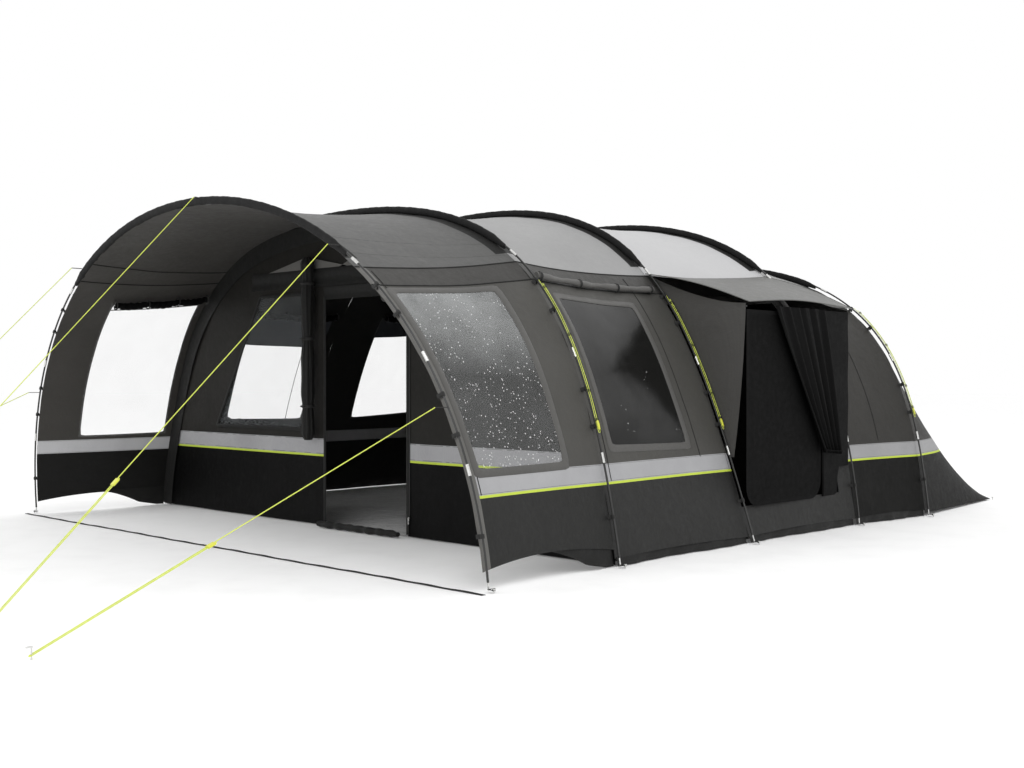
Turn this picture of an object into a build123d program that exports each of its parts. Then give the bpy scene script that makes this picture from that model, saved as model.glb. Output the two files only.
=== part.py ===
"""Five-hoop family tunnel tent with an open front canopy, a side porch and a pitched tail.

Millimetres. X runs across the tent, Y along it (rear is +Y), Z is up, and the ground is Z = 0.
"""

import os
from math import atan2, cos, degrees, hypot, pi, radians, sin

from build123d import *

os.makedirs("parts", exist_ok=True)

# Hoops, from the front of the canopy to the rear of the bedroom.
stations = (-2862, -1865, -608, 662, 1499)
half_widths = (2319, 2290, 2295, 2291, 2382)
heights = (1995, 2041, 2146, 2152, 1891)
# Each profile is a Bezier curve: how far the leg leans in, how high it stays steep, how flat the crown is.
leans = (0.012, 0.109, 0.208, 0.062, 0.065)
leg_shares = (0.605, 0.707, 0.661, 0.669, 0.652)
crown_shares = (0.571, 0.704, 0.663, 0.670, 0.806)
tilts = (-0.081, 0.0, 0.0, 0.0, 0.03)
tail_end = 2975
tail_half_width = 2230
tail_height = 95

# Fabric, film and poles.
fabric = 3.0
film = 1.6
pole_radius = 6.0
pole_offset = 28.0
sleeve_width = 26.0
sleeve_depth = 42.0
seam = 0.530
hem = 0.006
canopy_hem = 0.026

# Doors and windows, as ranges of Y or X and of Z.
door_x = (-210, 629)
door_z = (55, 1530)
front_window_z = (640, 1560)
front_window_top = (-955, -425)
front_window_foot = (-1520, -425)
canopy_window_y = (85, 735)
canopy_window_z = (560, 1430)
canopy_left_window_y = (280, 940)
canopy_left_window_z = (555, 1555)
middle_window_y = (140, 900)
middle_window_z = (600, 1440)
middle_left_window_y = (440, 1160)
middle_left_window_z = (640, 1480)
rear_window_y = (430, 1170)
rear_window_z = (640, 1480)
door_plane = 2250
porch_top = 1450
porch_sill = 205

# Guy lines.
cord_radius = 2.5
strand_gap = 14.0
peg_radius = 3.2
peg_height = 42.0

nodes = {}


def bezier(i, t):
    """A point of hoop i, from its right foot at t = 0 to the crown at t = 1."""
    width, height = half_widths[i], heights[i]
    x = width * ((1 - t) ** 3 + 3 * t * (1 - t) ** 2 * (1 - leans[i]) + 3 * t * t * (1 - t) * crown_shares[i])
    z = height * (3 * t * (1 - t) ** 2 * leg_shares[i] + 3 * t * t * (1 - t) + t**3)
    return x, z


def girth_table(i, steps=240):
    """Points of half of hoop i at even steps of t, with the length along it so far."""
    table = [(0.0, *bezier(i, 0.0))]
    for k in range(1, steps + 1):
        x, z = bezier(i, k / steps)
        table.append((table[-1][0] + hypot(x - table[-1][1], z - table[-1][2]), x, z))
    return table


tables = [girth_table(i) for i in range(5)]


def on_hoop(i, s, out=0.0):
    """A point at s of hoop i, 0 at the right foot, 1 at the crown and 2 at the left foot, moved outwards."""
    side, half = (1, s) if s <= 1 else (-1, 2 - s)
    table = tables[i]
    reach = half * table[-1][0]
    k = next((n for n in range(1, len(table)) if table[n][0] >= reach), len(table) - 1)
    (a, x0, z0), (b, x1, z1) = table[k - 1], table[k]
    part = (reach - a) / (b - a)
    length = hypot(x1 - x0, z1 - z0)
    x = x0 + (x1 - x0) * part + out * (z1 - z0) / length
    z = z0 + (z1 - z0) * part - out * (x1 - x0) / length
    return Vector(side * x, stations[i] + tilts[i] * z, z)


def between(i, u, s, out=0.0):
    """A point of the skin between hoops i and i + 1."""
    a = on_hoop(i, s, out)
    b = on_hoop(i + 1, s, out)
    return a + (b - a) * u


def section(points_out, points_in):
    """A closed wire with two smooth long sides."""
    outer = Spline(points_out)
    inner = Spline(points_in[::-1])
    first = Line(outer @ 1, inner @ 0)
    last = Line(inner @ 1, outer @ 0)
    return Wire([outer, first, inner, last])


def hoop_section(i, start, stop, thick, count, u=None):
    """The section of a skin at hoop i, or at u of the bay behind it."""
    marks = [start + (stop - start) * k / (count - 1) for k in range(count)]
    place = (lambda s, out: on_hoop(i, s, out)) if u is None else (lambda s, out: between(i, u, s, out))
    return section([place(s, thick / 2) for s in marks], [place(s, -thick / 2) for s in marks])


def skin(i, start, stop, thick=fabric, count=9, u0=0.0, u1=1.0):
    """Fabric between hoops i and i + 1, from start to stop of the girth."""
    first = hoop_section(i, start, stop, thick, count, u0)
    second = hoop_section(i, start, stop, thick, count, u1)
    return Solid.make_loft([first, second], ruled=True)


def prism_x(y_range, z_range, x_range, radius=60):
    """A block along X with rounded corners, to cut or bound a window of a side wall."""
    y0, y1 = y_range
    z0, z1 = z_range
    outline = Plane.YZ * Pos((y0 + y1) / 2, (z0 + z1) / 2) * RectangleRounded(y1 - y0, z1 - z0, radius)
    return Pos(min(x_range)) * extrude(outline, max(x_range) - min(x_range), dir=(1, 0, 0))


def hoop_path(i, start, stop, out, count=25):
    """The centre line of a pole or a sleeve."""
    return Spline([on_hoop(i, start + (stop - start) * k / (count - 1), out) for k in range(count)])


def tube(i, start, stop, radius, bore=0.0, out=pole_offset, count=25):
    """A round tube along hoop i."""
    path = hoop_path(i, start, stop, out, count)
    ring = Circle(radius) - Circle(bore) if bore else Circle(radius)
    return sweep(Plane(origin=path @ 0, z_dir=path % 0) * ring, path=path)


def sleeve(i, start, stop):
    """A fabric sleeve round the pole of hoop i."""
    path = hoop_path(i, start, stop, pole_offset)
    normal = (path % 0).cross(Vector(0, 1, 0))
    if normal.X < 0:
        normal = normal * -1
    plane = Plane(origin=path @ 0, x_dir=normal, z_dir=path % 0)
    shift = 2 + sleeve_depth / 2 - pole_offset
    outline = Pos(shift, 0) * RectangleRounded(sleeve_depth, sleeve_width, 10) - Circle(pole_radius + 2)
    return sweep(plane * outline, path=path)


def plate(corners, thick):
    """A flat or slightly twisted panel: corners in order, thickened along Z or its own normal."""
    face = Face(Wire.make_polygon([Vector(*c) for c in corners]))
    normal = face.normal_at()
    return extrude(face, thick / 2, dir=normal, both=True)


def hoop_face(i, inset, count=41):
    """The flat area inside hoop i, at its station."""
    marks = [2 * k / (count - 1) for k in range(count)]
    points = [on_hoop(i, s, -inset) for s in marks]
    points = [Vector(p.X, 0, max(p.Z, 0.0)) for p in points]
    curve = Spline(points)
    return Face(Wire([curve, Line(curve @ 1, curve @ 0)]))


def block(x_range, y_range, z_range):
    """A box given by its ranges."""
    sizes = [max(r) - min(r) for r in (x_range, y_range, z_range)]
    low = [min(r) for r in (x_range, y_range, z_range)]
    return Pos(*low) * Box(*sizes, align=(Align.MIN, Align.MIN, Align.MIN))


# Skins, bay by bay.
bays = ("canopy", "middle", "rear", "end")
for i, bay in enumerate(bays):
    nodes[f"roof_{bay}"] = skin(i, seam, 2 - seam, count=17)

# The right rear bay has a side door under a porch.
bay_start, bay_end = stations[2], stations[3]
side_door_cut = block((1300, 2600), (bay_start + 8, bay_end - 150), (porch_sill, 1500))

walls = {"right": [], "left": []}
side_windows = []
window_ranges = {
    ("canopy", 1): (canopy_window_y, canopy_window_z),
    ("canopy", -1): (canopy_left_window_y, canopy_left_window_z),
    ("middle", 1): (middle_window_y, middle_window_z),
    ("middle", -1): (middle_left_window_y, middle_left_window_z),
    ("rear", -1): (rear_window_y, rear_window_z),
}
for i, bay in enumerate(bays):
    foot = canopy_hem if bay == "canopy" else hem
    for side, name, start, stop in ((1, "right", foot, seam), (-1, "left", 2 - seam, 2 - foot)):
        wall = skin(i, start, stop)
        if (bay, side) in window_ranges:
            (y0, y1), z_range = window_ranges[(bay, side)]
            x_range = (1000 * side, 3000 * side)
            cut = prism_x((stations[i] + y0, stations[i] + y1), z_range, x_range)
            side_windows.append(skin(i, start, stop, film) & cut)
            wall = wall - cut
        if (bay, side) == ("rear", 1):
            wall = wall - side_door_cut
        walls[name].append(wall)
nodes["walls_right"] = Compound(walls["right"])
nodes["walls_left"] = Compound(walls["left"])
nodes["side_windows"] = Compound(side_windows)

# The pitched tail, from the last hoop down to the ground.
marks = [hem + (2 - 2 * hem) * k / 24 for k in range(25)]


def tail_point(s, out):
    """A point of the tail's low rear edge, moved outwards."""
    spread = on_hoop(4, s)
    share, rise = spread.X / half_widths[4], spread.Z / heights[4]
    return Vector(share * (tail_half_width + out), tail_end, 8 + rise * (tail_height + out))


tail_front = section([on_hoop(4, s, fabric / 2) for s in marks], [on_hoop(4, s, -fabric / 2) for s in marks])
tail_rear = section([tail_point(s, fabric / 2) for s in marks], [tail_point(s, -fabric / 2) for s in marks])
nodes["tail"] = Solid.make_loft([tail_front, tail_rear], ruled=True)

# The front wall of the living space, at the second hoop.
wall_y = stations[1]
panel = Pos(0, wall_y + fabric / 2) * extrude(hoop_face(1, 6), fabric, dir=(0, -1, 0))
panel = panel - block((-3000, 3000), (wall_y - 50, wall_y + 50), (-10, 8))
window_corners = [
    (front_window_foot[0], wall_y, front_window_z[0]),
    (front_window_foot[1], wall_y, front_window_z[0]),
    (front_window_top[1], wall_y, front_window_z[1]),
    (front_window_top[0], wall_y, front_window_z[1]),
]
window = plate(window_corners, 100)
doorway = block(door_x, (wall_y - 50, wall_y + 50), (-20, door_z[1]))
header_z = 1560
left_range = block((-3000, door_x[0]), (wall_y - 50, wall_y + 50), (-20, header_z))
right_range = block((door_x[1], 3000), (wall_y - 50, wall_y + 50), (-20, header_z))
top_range = block((-3000, 3000), (wall_y - 50, wall_y + 50), (header_z, 3000))
middle_range = block(door_x, (wall_y - 50, wall_y + 50), (door_z[1], header_z))
nodes["front_wall_left"] = (panel & left_range) - window
nodes["front_wall_right"] = panel & right_range
nodes["front_header"] = panel & (top_range + middle_range)
nodes["front_window"] = plate(window_corners, film)

# The front door, rolled to one side and tied, and the roll across the sill.
roll_x = (front_window_top[1] + door_x[0]) / 2
roll = Pos(roll_x, wall_y - 62, 0) * Cylinder(44, 1220, align=(Align.CENTER, Align.CENTER, Align.MIN))
nodes["door_roll"] = Pos(0, 0, 575) * fillet(roll.edges(), 18)
ties = []
for height in (800, 1250, 1620):
    ring = Cylinder(49, 22) - Cylinder(45, 30)
    ties.append(Pos(roll_x, wall_y - 62, height) * ring)
nodes["door_ties"] = Compound(ties)
sill = Pos((door_x[0] + door_x[1]) / 2, wall_y - 70, 26) * Rot(0, 90, 0) * Cylinder(25, door_x[1] - door_x[0] - 20)
nodes["door_sill"] = fillet(sill.edges(), 10)

# Floor of the living space, mud flaps, and the strap across the canopy feet.
nodes["groundsheet"] = block((-2180, 2180), (wall_y + 12, stations[3] - 8), (0, 3))
flaps = []
for side in (-1, 1):
    for i in (1, 2, 3):
        y_range = (stations[i] + 15, stations[i + 1] - 15)
        flaps.append(block((side * 2190, side * 2262), y_range, (0, 2.5)))
nodes["mud_flaps"] = Compound(flaps)
strap_y = stations[0] - 68
nodes["front_strap"] = block((-2370, 2385), (strap_y - 14, strap_y + 14), (0, 2.5))

# The bedroom hung inside the last bays.
pod_front, pod_back = stations[3] + 30, tail_end - 620


def pod_section(y, width, height, thick):
    """An arch of the bedroom at y."""
    outer = [Vector(width * cos(a), y, 12 + height * sin(a) ** 0.72) for a in (pi * k / 20 for k in range(21))]
    outer = [Vector(p.X, p.Y, max(p.Z, 12)) for p in outer]
    curve = Spline(outer)
    return Wire([curve, Line(curve @ 1, curve @ 0)])


pod_sizes = ((pod_front, 2050, 1830), (stations[4], 2100, 1640), (pod_back, 1980, 560))
outer_wires = [pod_section(y, w, h, 0) for y, w, h in pod_sizes]
inner_wires = [pod_section(y, w - 12, h - 12, 0) for y, w, h in pod_sizes]
outer_pod = Solid.make_loft(outer_wires, ruled=True)
inner_pod = Solid.make_loft(inner_wires, ruled=True)
nodes["bedroom_shell"] = outer_pod - (Pos(0, 0, 0) * inner_pod) - block((-1970, 1970), (pod_front - 9, pod_front + 9), (-5, 5))
front = Face(pod_section(pod_front - 6, 2050, 1830, 0))
bedroom_front = extrude(front, fabric, dir=(0, -1, 0))
door_gap = Pos(-700, pod_front - 8, 800) * Rot(90, 0, 0) * extrude(RectangleRounded(760, 1300, 200), 30, both=True)
nodes["bedroom_front"] = bedroom_front - door_gap
nodes["bedroom_floor"] = block((-1950, 1950), (pod_front + 20, pod_back - 30), (0, 8))

# Poles, sleeves, ferrules, clips, foot tips.
sleeve_ranges = ((0.555, 1.445), (0.565, 1.435), (0.555, 1.445), (0.545, 1.455), (0.575, 1.425))
sleeves, ferrules, clips, tips = [], [], [], []
for i in range(5):
    first, last = 0.013, 1.987
    nodes[f"pole_{i + 1}"] = tube(i, first, last, pole_radius, count=49)
    start, stop = sleeve_ranges[i]
    sleeves.append(sleeve(i, start, stop))
    tips.append(tube(i, 0.0022, 0.013, 4.6, count=3))
    tips.append(tube(i, 1.987, 1.9978, 4.6, count=3))
    for s in (0.335, 0.165, start - 0.022):
        for mark in (s, 2 - s):
            ferrules.append(tube(i, mark - 0.008, mark + 0.008, 8.2, 6.2, count=3))
    for s in (0.075, 0.215, 0.275, 0.415, 0.475):
        for mark in (s, 2 - s):
            ring = tube(i, mark - 0.004, mark + 0.004, 9.0, 6.2, count=3)
            inner = on_hoop(i, mark, 3.5)
            outer = on_hoop(i, mark, pole_offset - 7.6)
            tab_path = Line(inner, outer)
            tab = sweep(Plane(origin=inner, x_dir=(0, 1, 0), z_dir=tab_path % 0) * Rectangle(14, 3), path=tab_path)
            clips.append(ring + tab)
nodes["pole_sleeves"] = Compound(sleeves)
nodes["pole_tips"] = Compound(tips)
nodes["pole_ferrules"] = Compound(ferrules)
nodes["pole_clips"] = Compound(clips)

# Side porch.
porch_inset = 24
front_y, rear_y = bay_start + porch_inset, bay_end - porch_inset
seam_front, seam_rear = between(2, 0.02, seam, 4), between(2, 0.98, seam, 4)
tip_z = porch_top
roof_first = section(
    [Vector(seam_front.X + 4, front_y, seam_front.Z + 10), Vector(1900, front_y, 1600), Vector(door_plane + 22, front_y, tip_z + 3)],
    [Vector(seam_front.X + 4, front_y, seam_front.Z + 6), Vector(1900, front_y, 1596), Vector(door_plane + 22, front_y, tip_z - 1)],
)
roof_second = section(
    [Vector(seam_rear.X + 4, rear_y, seam_rear.Z + 10), Vector(1915, rear_y, 1625), Vector(door_plane + 22, rear_y, tip_z + 3)],
    [Vector(seam_rear.X + 4, rear_y, seam_rear.Z + 6), Vector(1915, rear_y, 1621), Vector(door_plane + 22, rear_y, tip_z - 1)],
)
nodes["porch_roof"] = Solid.make_loft([roof_first, roof_second], ruled=True)
for name, y, hoop, width in (("front", front_y, 2, 5), ("rear", rear_y, 3, -5)):
    low_x = on_hoop(hoop, 0.155).X
    low_z = on_hoop(hoop, 0.155).Z
    wall_points = [on_hoop(hoop, s, 6) for s in (seam - 0.03, 0.45, 0.38, 0.30, 0.22, 0.155)]
    corners = [(p.X, y, p.Z) for p in wall_points] + [(door_plane - 6, y, low_z), (door_plane - 6, y, tip_z - 12), (2050, y, 1505)]
    nodes[f"porch_gusset_{name}"] = plate(corners, fabric)
struts = []
for y, hoop in ((front_y + 9, 2), (rear_y - 9, 3)):
    root = on_hoop(hoop, 0.43, 12)
    path = Line(Vector(root.X, y, root.Z), Vector(door_plane - 8, y, tip_z - 26))
    struts.append(sweep(Plane(origin=path @ 0, z_dir=path % 0) * Circle(5), path=path))
nodes["porch_struts"] = Compound(struts)
door_hinge_y = bay_start + 36
leaf_y = (door_hinge_y, bay_start + 900)
leaf = prism_x(leaf_y, (porch_sill + 6, tip_z - 45), (door_plane - 10, door_plane - 6), 110)
hinge_cord = Pos(door_plane - 8, door_hinge_y, (porch_sill + tip_z) / 2) * Cylinder(3, 940)
nodes["side_door"] = leaf + hinge_cord
curtain_path = [(door_plane + 8, bay_start + 1000, porch_sill + 300), (door_plane + 8, bay_start + 700, tip_z - 60)]
curtain = plate(
    [
        (door_plane + 6, bay_start + 330, tip_z - 14),
        (door_plane + 6, bay_start + 915, tip_z - 14),
        (door_plane + 6, bay_start + 1130, porch_sill + 285),
        (door_plane + 6, bay_start + 905, porch_sill + 330),
        (door_plane + 6, bay_start + 545, 1046),
    ],
    24,
)
nodes["side_curtain"] = Pos(8, 0, 0) * curtain
nodes["porch_rear_panel"] = plate(
    [
        (door_plane - 2, bay_start + 918, tip_z - 20),
        (door_plane - 2, bay_end - 28, tip_z - 20),
        (door_plane - 2, bay_end - 28, 400),
        (door_plane - 2, bay_end - 160, 400),
        (door_plane - 2, bay_end - 160, porch_sill + 10),
        (door_plane - 2, bay_start + 918, porch_sill + 10),
    ],
    fabric,
)

# Rolled curtains above the side windows, inside the skin.
rolls = []
for i, side, (y0, y1), z in (
    (0, 1, canopy_window_y, 1470),
    (0, -1, canopy_left_window_y, 1560),
    (1, 1, middle_window_y, 1490),
    (1, -1, middle_left_window_y, 1500),
    (2, -1, rear_window_y, 1500),
):
    marks = [0.40 + 0.002 * k for k in range(70)]
    wall_x = min(
        min(between(i, y / (stations[i + 1] - stations[i]), s).X for s in marks if between(i, 0.5, s).Z <= z + 30)
        for y in (y0, (y0 + y1) / 2, y1)
    )
    middle_y = stations[i] + (y0 + y1) / 2
    rolls.append(Pos(side * (wall_x - 46), middle_y, z) * Rot(90, 0, 0) * Cylinder(24, y1 - y0 - 20))
nodes["curtain_rolls"] = Compound(rolls)

# Ground pegs at the hoop feet and the tail corners: only the heads stand above the ground.
pegs = []
for i in range(5):
    for s in (0.0, 2.0):
        foot = on_hoop(i, s, pole_offset + 34)
        shank = Pos(foot.X, stations[i], 0) * Cylinder(peg_radius, 18, align=(Align.CENTER, Align.CENTER, Align.MIN))
        head = Pos(foot.X, stations[i], 18) * Cylinder(9, 4, align=(Align.CENTER, Align.CENTER, Align.MIN))
        pegs.append(shank + head)
for x in (-2240, -760, 760, 2240):
    shank = Pos(x, tail_end + 20, 0) * Cylinder(peg_radius, 18, align=(Align.CENTER, Align.CENTER, Align.MIN))
    head = Pos(x, tail_end + 20, 18) * Cylinder(9, 4, align=(Align.CENTER, Align.CENTER, Align.MIN))
    pegs.append(shank + head)
nodes["foot_pegs"] = Compound(pegs)

# The slider of the door zip, on its straight tape beside the doorway.
zip_x = door_x[1] + 16
nodes["zip_tape"] = block((zip_x - 5, zip_x + 5), (wall_y - 4.5, wall_y - 2), (90, door_z[1] - 60))
body = block((zip_x - 6, zip_x + 6), (wall_y - 11, wall_y - 5), (110, 128))
pull = block((zip_x - 3, zip_x + 3), (wall_y - 14, wall_y - 11.5), (86, 124))
bridge = block((zip_x - 2, zip_x + 2), (wall_y - 12, wall_y - 10.5), (116, 124))
nodes["zip_slider"] = body + pull + bridge

# Guy lines run straight forward from the canopy hoop to pegs, doubled below a runner.
guys = {
    "crown": (0.962, 34, -2105, 0.60),
    "right_shoulder": (0.572, 84, -1905, 0.68),
    "left_shoulder": (1.400, 84, -1905, 0.68),
    "right_mid": (0.255, 84, -2070, 0.62),
    "left_mid": (1.735, 84, -2070, 0.62),
}
tabs = []
guy_pegs = []
lengths = {}
directions = {}
for name, (s, stand_off, reach, share) in guys.items():
    anchor = on_hoop(0, s, pole_offset + sleeve_depth / 2 - 8 if 0.5 < s < 1.5 else pole_offset)
    start = Vector(anchor.X, anchor.Y - stand_off, anchor.Z)
    peg = Vector(anchor.X, stations[0] + reach, 16)
    line = (peg - start).normalized()
    side = Vector(1, 0, 0)
    turn_a = peg + line * 9 - side * strand_gap / 2
    turn_a = Vector(turn_a.X, turn_a.Y, max(turn_a.Z, 6))
    line = (turn_a - start).normalized()
    turn_b = turn_a + side * strand_gap
    runner = start + line * (share * (turn_a - start).length)
    finish = Vector(runner.X + strand_gap, runner.Y, runner.Z) - line * 24
    path = FilletPolyline([start, turn_a, turn_b, finish], radius=[6.5, 6.5])
    nodes[f"guy_{name}"] = sweep(Plane(origin=path @ 0, z_dir=path % 0) * Circle(cord_radius), path=path)
    lengths[name] = path.length
    directions[name] = line
    plane = Plane(origin=runner + side * strand_gap / 2, x_dir=side, z_dir=line)
    bores = Pos(strand_gap / 2, 0, 0) * Cylinder(cord_radius + 0.4, 60) + Pos(-strand_gap / 2, 0, 0) * Cylinder(cord_radius + 0.4, 60)
    bar = extrude(SlotOverall(30, 11), 18, both=True) - bores
    nodes[f"runner_{name}"] = plane.location * bar
    shank = Pos(peg.X, peg.Y, 0) * Cylinder(peg_radius, peg_height, align=(Align.CENTER, Align.CENTER, Align.MIN))
    hook = Pos(peg.X, peg.Y - 8, peg_height + 3) * Box(7, 24, 6)
    guy_pegs.append(shank + hook)
    tab_end = stand_off - (14 if 0.5 < s < 1.5 else 7)
    tab = Pos(start.X, start.Y + (3 + tab_end) / 2, start.Z) * Box(16, tab_end - 3, 4)
    tabs.append(tab)
    print(name, "guy length", round(path.length), "start", start, "turns", turn_a, turn_b, "end", finish, "line", line)
nodes["guy_tabs"] = Compound(tabs)
nodes["guy_pegs"] = Compound(guy_pegs)

# Spare guy lines, tied in hanks along the legs of the other hoops.
hank_start, hank_stop = 0.47, 0.20
for side, name in ((0, "right"), (1, "left")):
    first, last = (hank_start, hank_stop) if side == 0 else (2 - hank_start, 2 - hank_stop)
    nodes[f"hanks_{name}"] = Compound([tube(i, last, first, 8.0, out=pole_offset + 18, count=9) for i in (1, 2, 3, 4)])

for name, shape in nodes.items():
    if isinstance(shape, list):
        shape = Compound(shape)
    shape.label = name
    export_step(shape, f"parts/{name}.step")
print(len(nodes), "nodes")
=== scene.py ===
"""Looks of a five-hoop tunnel tent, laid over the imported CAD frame.

Metres, X across, Y to the rear, Z up.
"""

import math

import bmesh
import bpy
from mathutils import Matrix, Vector, noise


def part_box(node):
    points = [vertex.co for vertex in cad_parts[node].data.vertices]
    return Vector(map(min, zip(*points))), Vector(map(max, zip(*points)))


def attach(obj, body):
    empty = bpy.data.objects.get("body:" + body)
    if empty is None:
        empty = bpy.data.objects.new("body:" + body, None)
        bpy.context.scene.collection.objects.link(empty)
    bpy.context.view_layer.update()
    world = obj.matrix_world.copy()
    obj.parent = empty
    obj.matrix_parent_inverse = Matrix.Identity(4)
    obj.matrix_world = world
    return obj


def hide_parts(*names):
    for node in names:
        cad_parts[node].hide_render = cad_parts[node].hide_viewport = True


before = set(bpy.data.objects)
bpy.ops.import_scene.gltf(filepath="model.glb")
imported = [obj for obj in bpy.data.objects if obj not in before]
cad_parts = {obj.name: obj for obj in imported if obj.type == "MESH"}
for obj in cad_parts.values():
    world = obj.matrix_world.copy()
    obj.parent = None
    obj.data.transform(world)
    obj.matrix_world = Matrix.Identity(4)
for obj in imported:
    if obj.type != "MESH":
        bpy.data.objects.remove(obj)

bl_info = {
    "name": "Tunnel Tent",
    "version": (1, 0, 0),
    "blender": (4, 5, 0),
    "location": "View3D > Sidebar > Tent",
    "description": "Builds a tunnel tent on its CAD frame",
    "category": "Object",
}

# The five hoops, front to rear: y of the feet, half width, height and the shape of legs and crown.
STATIONS = (-2.862, -1.865, -0.608, 0.662, 1.499)
HALF_WIDTHS = (2.319, 2.290, 2.295, 2.291, 2.382)
HEIGHTS = (1.995, 2.041, 2.146, 2.152, 1.891)
LEANS = (0.012, 0.109, 0.208, 0.062, 0.065)
LEG_SHARES = (0.605, 0.707, 0.661, 0.669, 0.652)
CROWN_SHARES = (0.571, 0.704, 0.663, 0.670, 0.806)
TILTS = (-0.081, 0.0, 0.0, 0.0, 0.03)
TAIL_END = 2.975
TAIL_HALF_WIDTH = 2.230
TAIL_HEIGHT = 0.095

# Places on a hoop: s is 0 at the right foot, 1 at the crown and 2 at the left foot.
SEAM = 0.530
SHOULDER = 0.484
HEM = 0.006
EDGE_START = 0.556

POLE_OUT = 0.028
EDGE_WIDTH = 0.072
CANOPY_FACING = 0.06
CLOTH = 0.0016
THIN_CLOTH = 0.0012
FILM = 0.0006

WALL_Y = STATIONS[1]
DOOR_X = (-0.210, 0.629)
DOOR_TOP = 1.530
DOOR_PLANE = 2.250
PORCH_TOP = 1.450
PORCH_SILL = 0.205
BAYS = ("canopy", "middle", "rear", "end")

# Openings by bay and side (1 right, -1 left): u along the bay and s up the hoop, first and last.
WINDOWS = {
    (0, 1): (0.085, 0.735, 0.163, 0.470),
    (0, -1): (0.280, 0.945, 0.165, 0.505),
    (1, 1): (0.110, 0.715, 0.183, 0.452),
    (1, -1): (0.350, 0.920, 0.195, 0.470),
    (2, -1): (0.340, 0.920, 0.190, 0.470),
}
PORCH_OPENING = (0.01, 0.88, 0.062, 0.460)

# Sewn seams of each bay: u, and the s they run between.
SEAMS = (
    ((0.074, 0.13, 0.520),),
    ((0.060, 0.13, 0.520), (0.790, 0.16, 0.520)),
    ((0.945, 0.16, 0.520),),
    ((0.500, 0.16, 0.520),),
)

# Each guy line: its tab, the y and z of its turn round the peg, its runner, and its length.
GUYS = {
    "crown": ((0.1314, -3.0607, 2.0334), (-4.9732, 0.0095), (0.1413, -4.1917, 0.8365), 3.931),
    "right_shoulder": ((1.4193, -3.0808, 1.6646), (-4.7734, 0.0097), (1.4286, -4.2146, 0.5560), 3.157),
    "left_shoulder": ((-1.3352, -3.0848, 1.7140), (-4.7733, 0.0096), (-1.3259, -4.2161, 0.5721), 3.199),
    "right_mid": ((2.1461, -3.0152, 0.8543), (-4.9403, 0.0124), (2.1559, -4.1867, 0.3419), 2.932),
    "left_mid": ((-2.1306, -3.0177, 0.8854), (-4.9402, 0.0123), (-2.1208, -4.1878, 0.3540), 2.946),
}
PEG_HALF = 0.007


# ---------------------------------------------------------------- shape of the hoops


def lerp(a, b, t):
    """The value that lies t of the way from a to b."""
    return a + (b - a) * t


def half_way(s):
    """The place s as if it were on the right half of its hoop."""
    return s if s <= 1 else 2 - s


def on_side(s, side):
    """The place s of the right half, or its mirror image when side is -1."""
    return s if side > 0 else 2 - s


def bezier(i, t):
    """Half of hoop i, from its foot at t = 0 to its crown at t = 1."""
    a, b, c = 3 * t * (1 - t) ** 2, 3 * t * t * (1 - t), t**3
    x = HALF_WIDTHS[i] * ((1 - t) ** 3 + a * (1 - LEANS[i]) + b * CROWN_SHARES[i])
    return x, HEIGHTS[i] * (a * LEG_SHARES[i] + b + c)


def girth_table(i, steps=240):
    """Girth from the foot, x and z at even steps of half of hoop i."""
    table = [(0.0, *bezier(i, 0.0))]
    for k in range(1, steps + 1):
        x, z = bezier(i, k / steps)
        table.append((table[-1][0] + math.hypot(x - table[-1][1], z - table[-1][2]), x, z))
    return table


TABLES = [girth_table(i) for i in range(5)]


def on_hoop(i, s, out=0.0):
    """A point at s of hoop i: 0 at the right foot, 1 at the crown, 2 at the left foot, moved outwards."""
    side, half = (1, s) if s <= 1 else (-1, 2 - s)
    table = TABLES[i]
    reach = min(max(half, 0.0), 1.0) * table[-1][0]
    low, high = 0, len(table) - 1
    while high - low > 1:
        middle = (low + high) // 2
        if table[middle][0] < reach:
            low = middle
        else:
            high = middle
    (a, x0, z0), (b, x1, z1) = table[low], table[high]
    part = (reach - a) / (b - a)
    length = math.hypot(x1 - x0, z1 - z0)
    x = lerp(x0, x1, part) + out * (z1 - z0) / length
    z = lerp(z0, z1, part) - out * (x1 - x0) / length
    return Vector((side * x, STATIONS[i] + TILTS[i] * z, z))


def between(i, u, s, out=0.0):
    """The taut skin between hoops i and i + 1."""
    return on_hoop(i, s, out).lerp(on_hoop(i + 1, s, out), u)


def fold(u, s, seed):
    """Height of the small tension folds: they start at the clips and the feet and fade into the panel."""
    near = math.exp(-7.0 * u) + math.exp(-7.0 * (1 - u))
    edge = math.sin(44 * s + seed) * 0.6 + math.sin(97 * s + 2.1 * seed) * 0.4
    broad = noise.noise(Vector((u * 2.3 + seed, s * 9.0, seed)))
    broad += 0.5 * noise.noise(Vector((u * 6 + seed, s * 26.0, 3.0)))
    return 0.0022 * near * edge + 0.0045 * broad * 4 * u * (1 - u)


def skin_point(i, u, s, lift=0.0):
    """The skin of bay i with its sag between the hoops and its folds."""
    sag = 0.012 + 0.016 * min(1.0, half_way(s) / 0.6)
    return between(i, u, s, lift - sag * 4 * u * (1 - u) + fold(u, s, 3.7 * i + 1))


def tail_edge(s):
    """The low rear edge of the tail, straight behind s of the last hoop."""
    foot = on_hoop(4, s)
    share, rise = foot.x / HALF_WIDTHS[4], foot.z / HEIGHTS[4]
    return Vector((share * TAIL_HALF_WIDTH, TAIL_END, 0.008 + rise * TAIL_HEIGHT))


def tail_point(u, s, lift=0.0):
    """The tail between the last hoop and its low edge, with its sag and its folds."""
    p = on_hoop(4, s, lift).lerp(tail_edge(s), u)
    p.z = max(p.z - 0.018 * 4 * u * (1 - u) * min(1.0, p.z), 0.006)
    crease = fold(u, s, 20.0) * 1.6
    return p + Vector((0, crease * 0.6, crease if p.z > 0.03 else 0))


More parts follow.
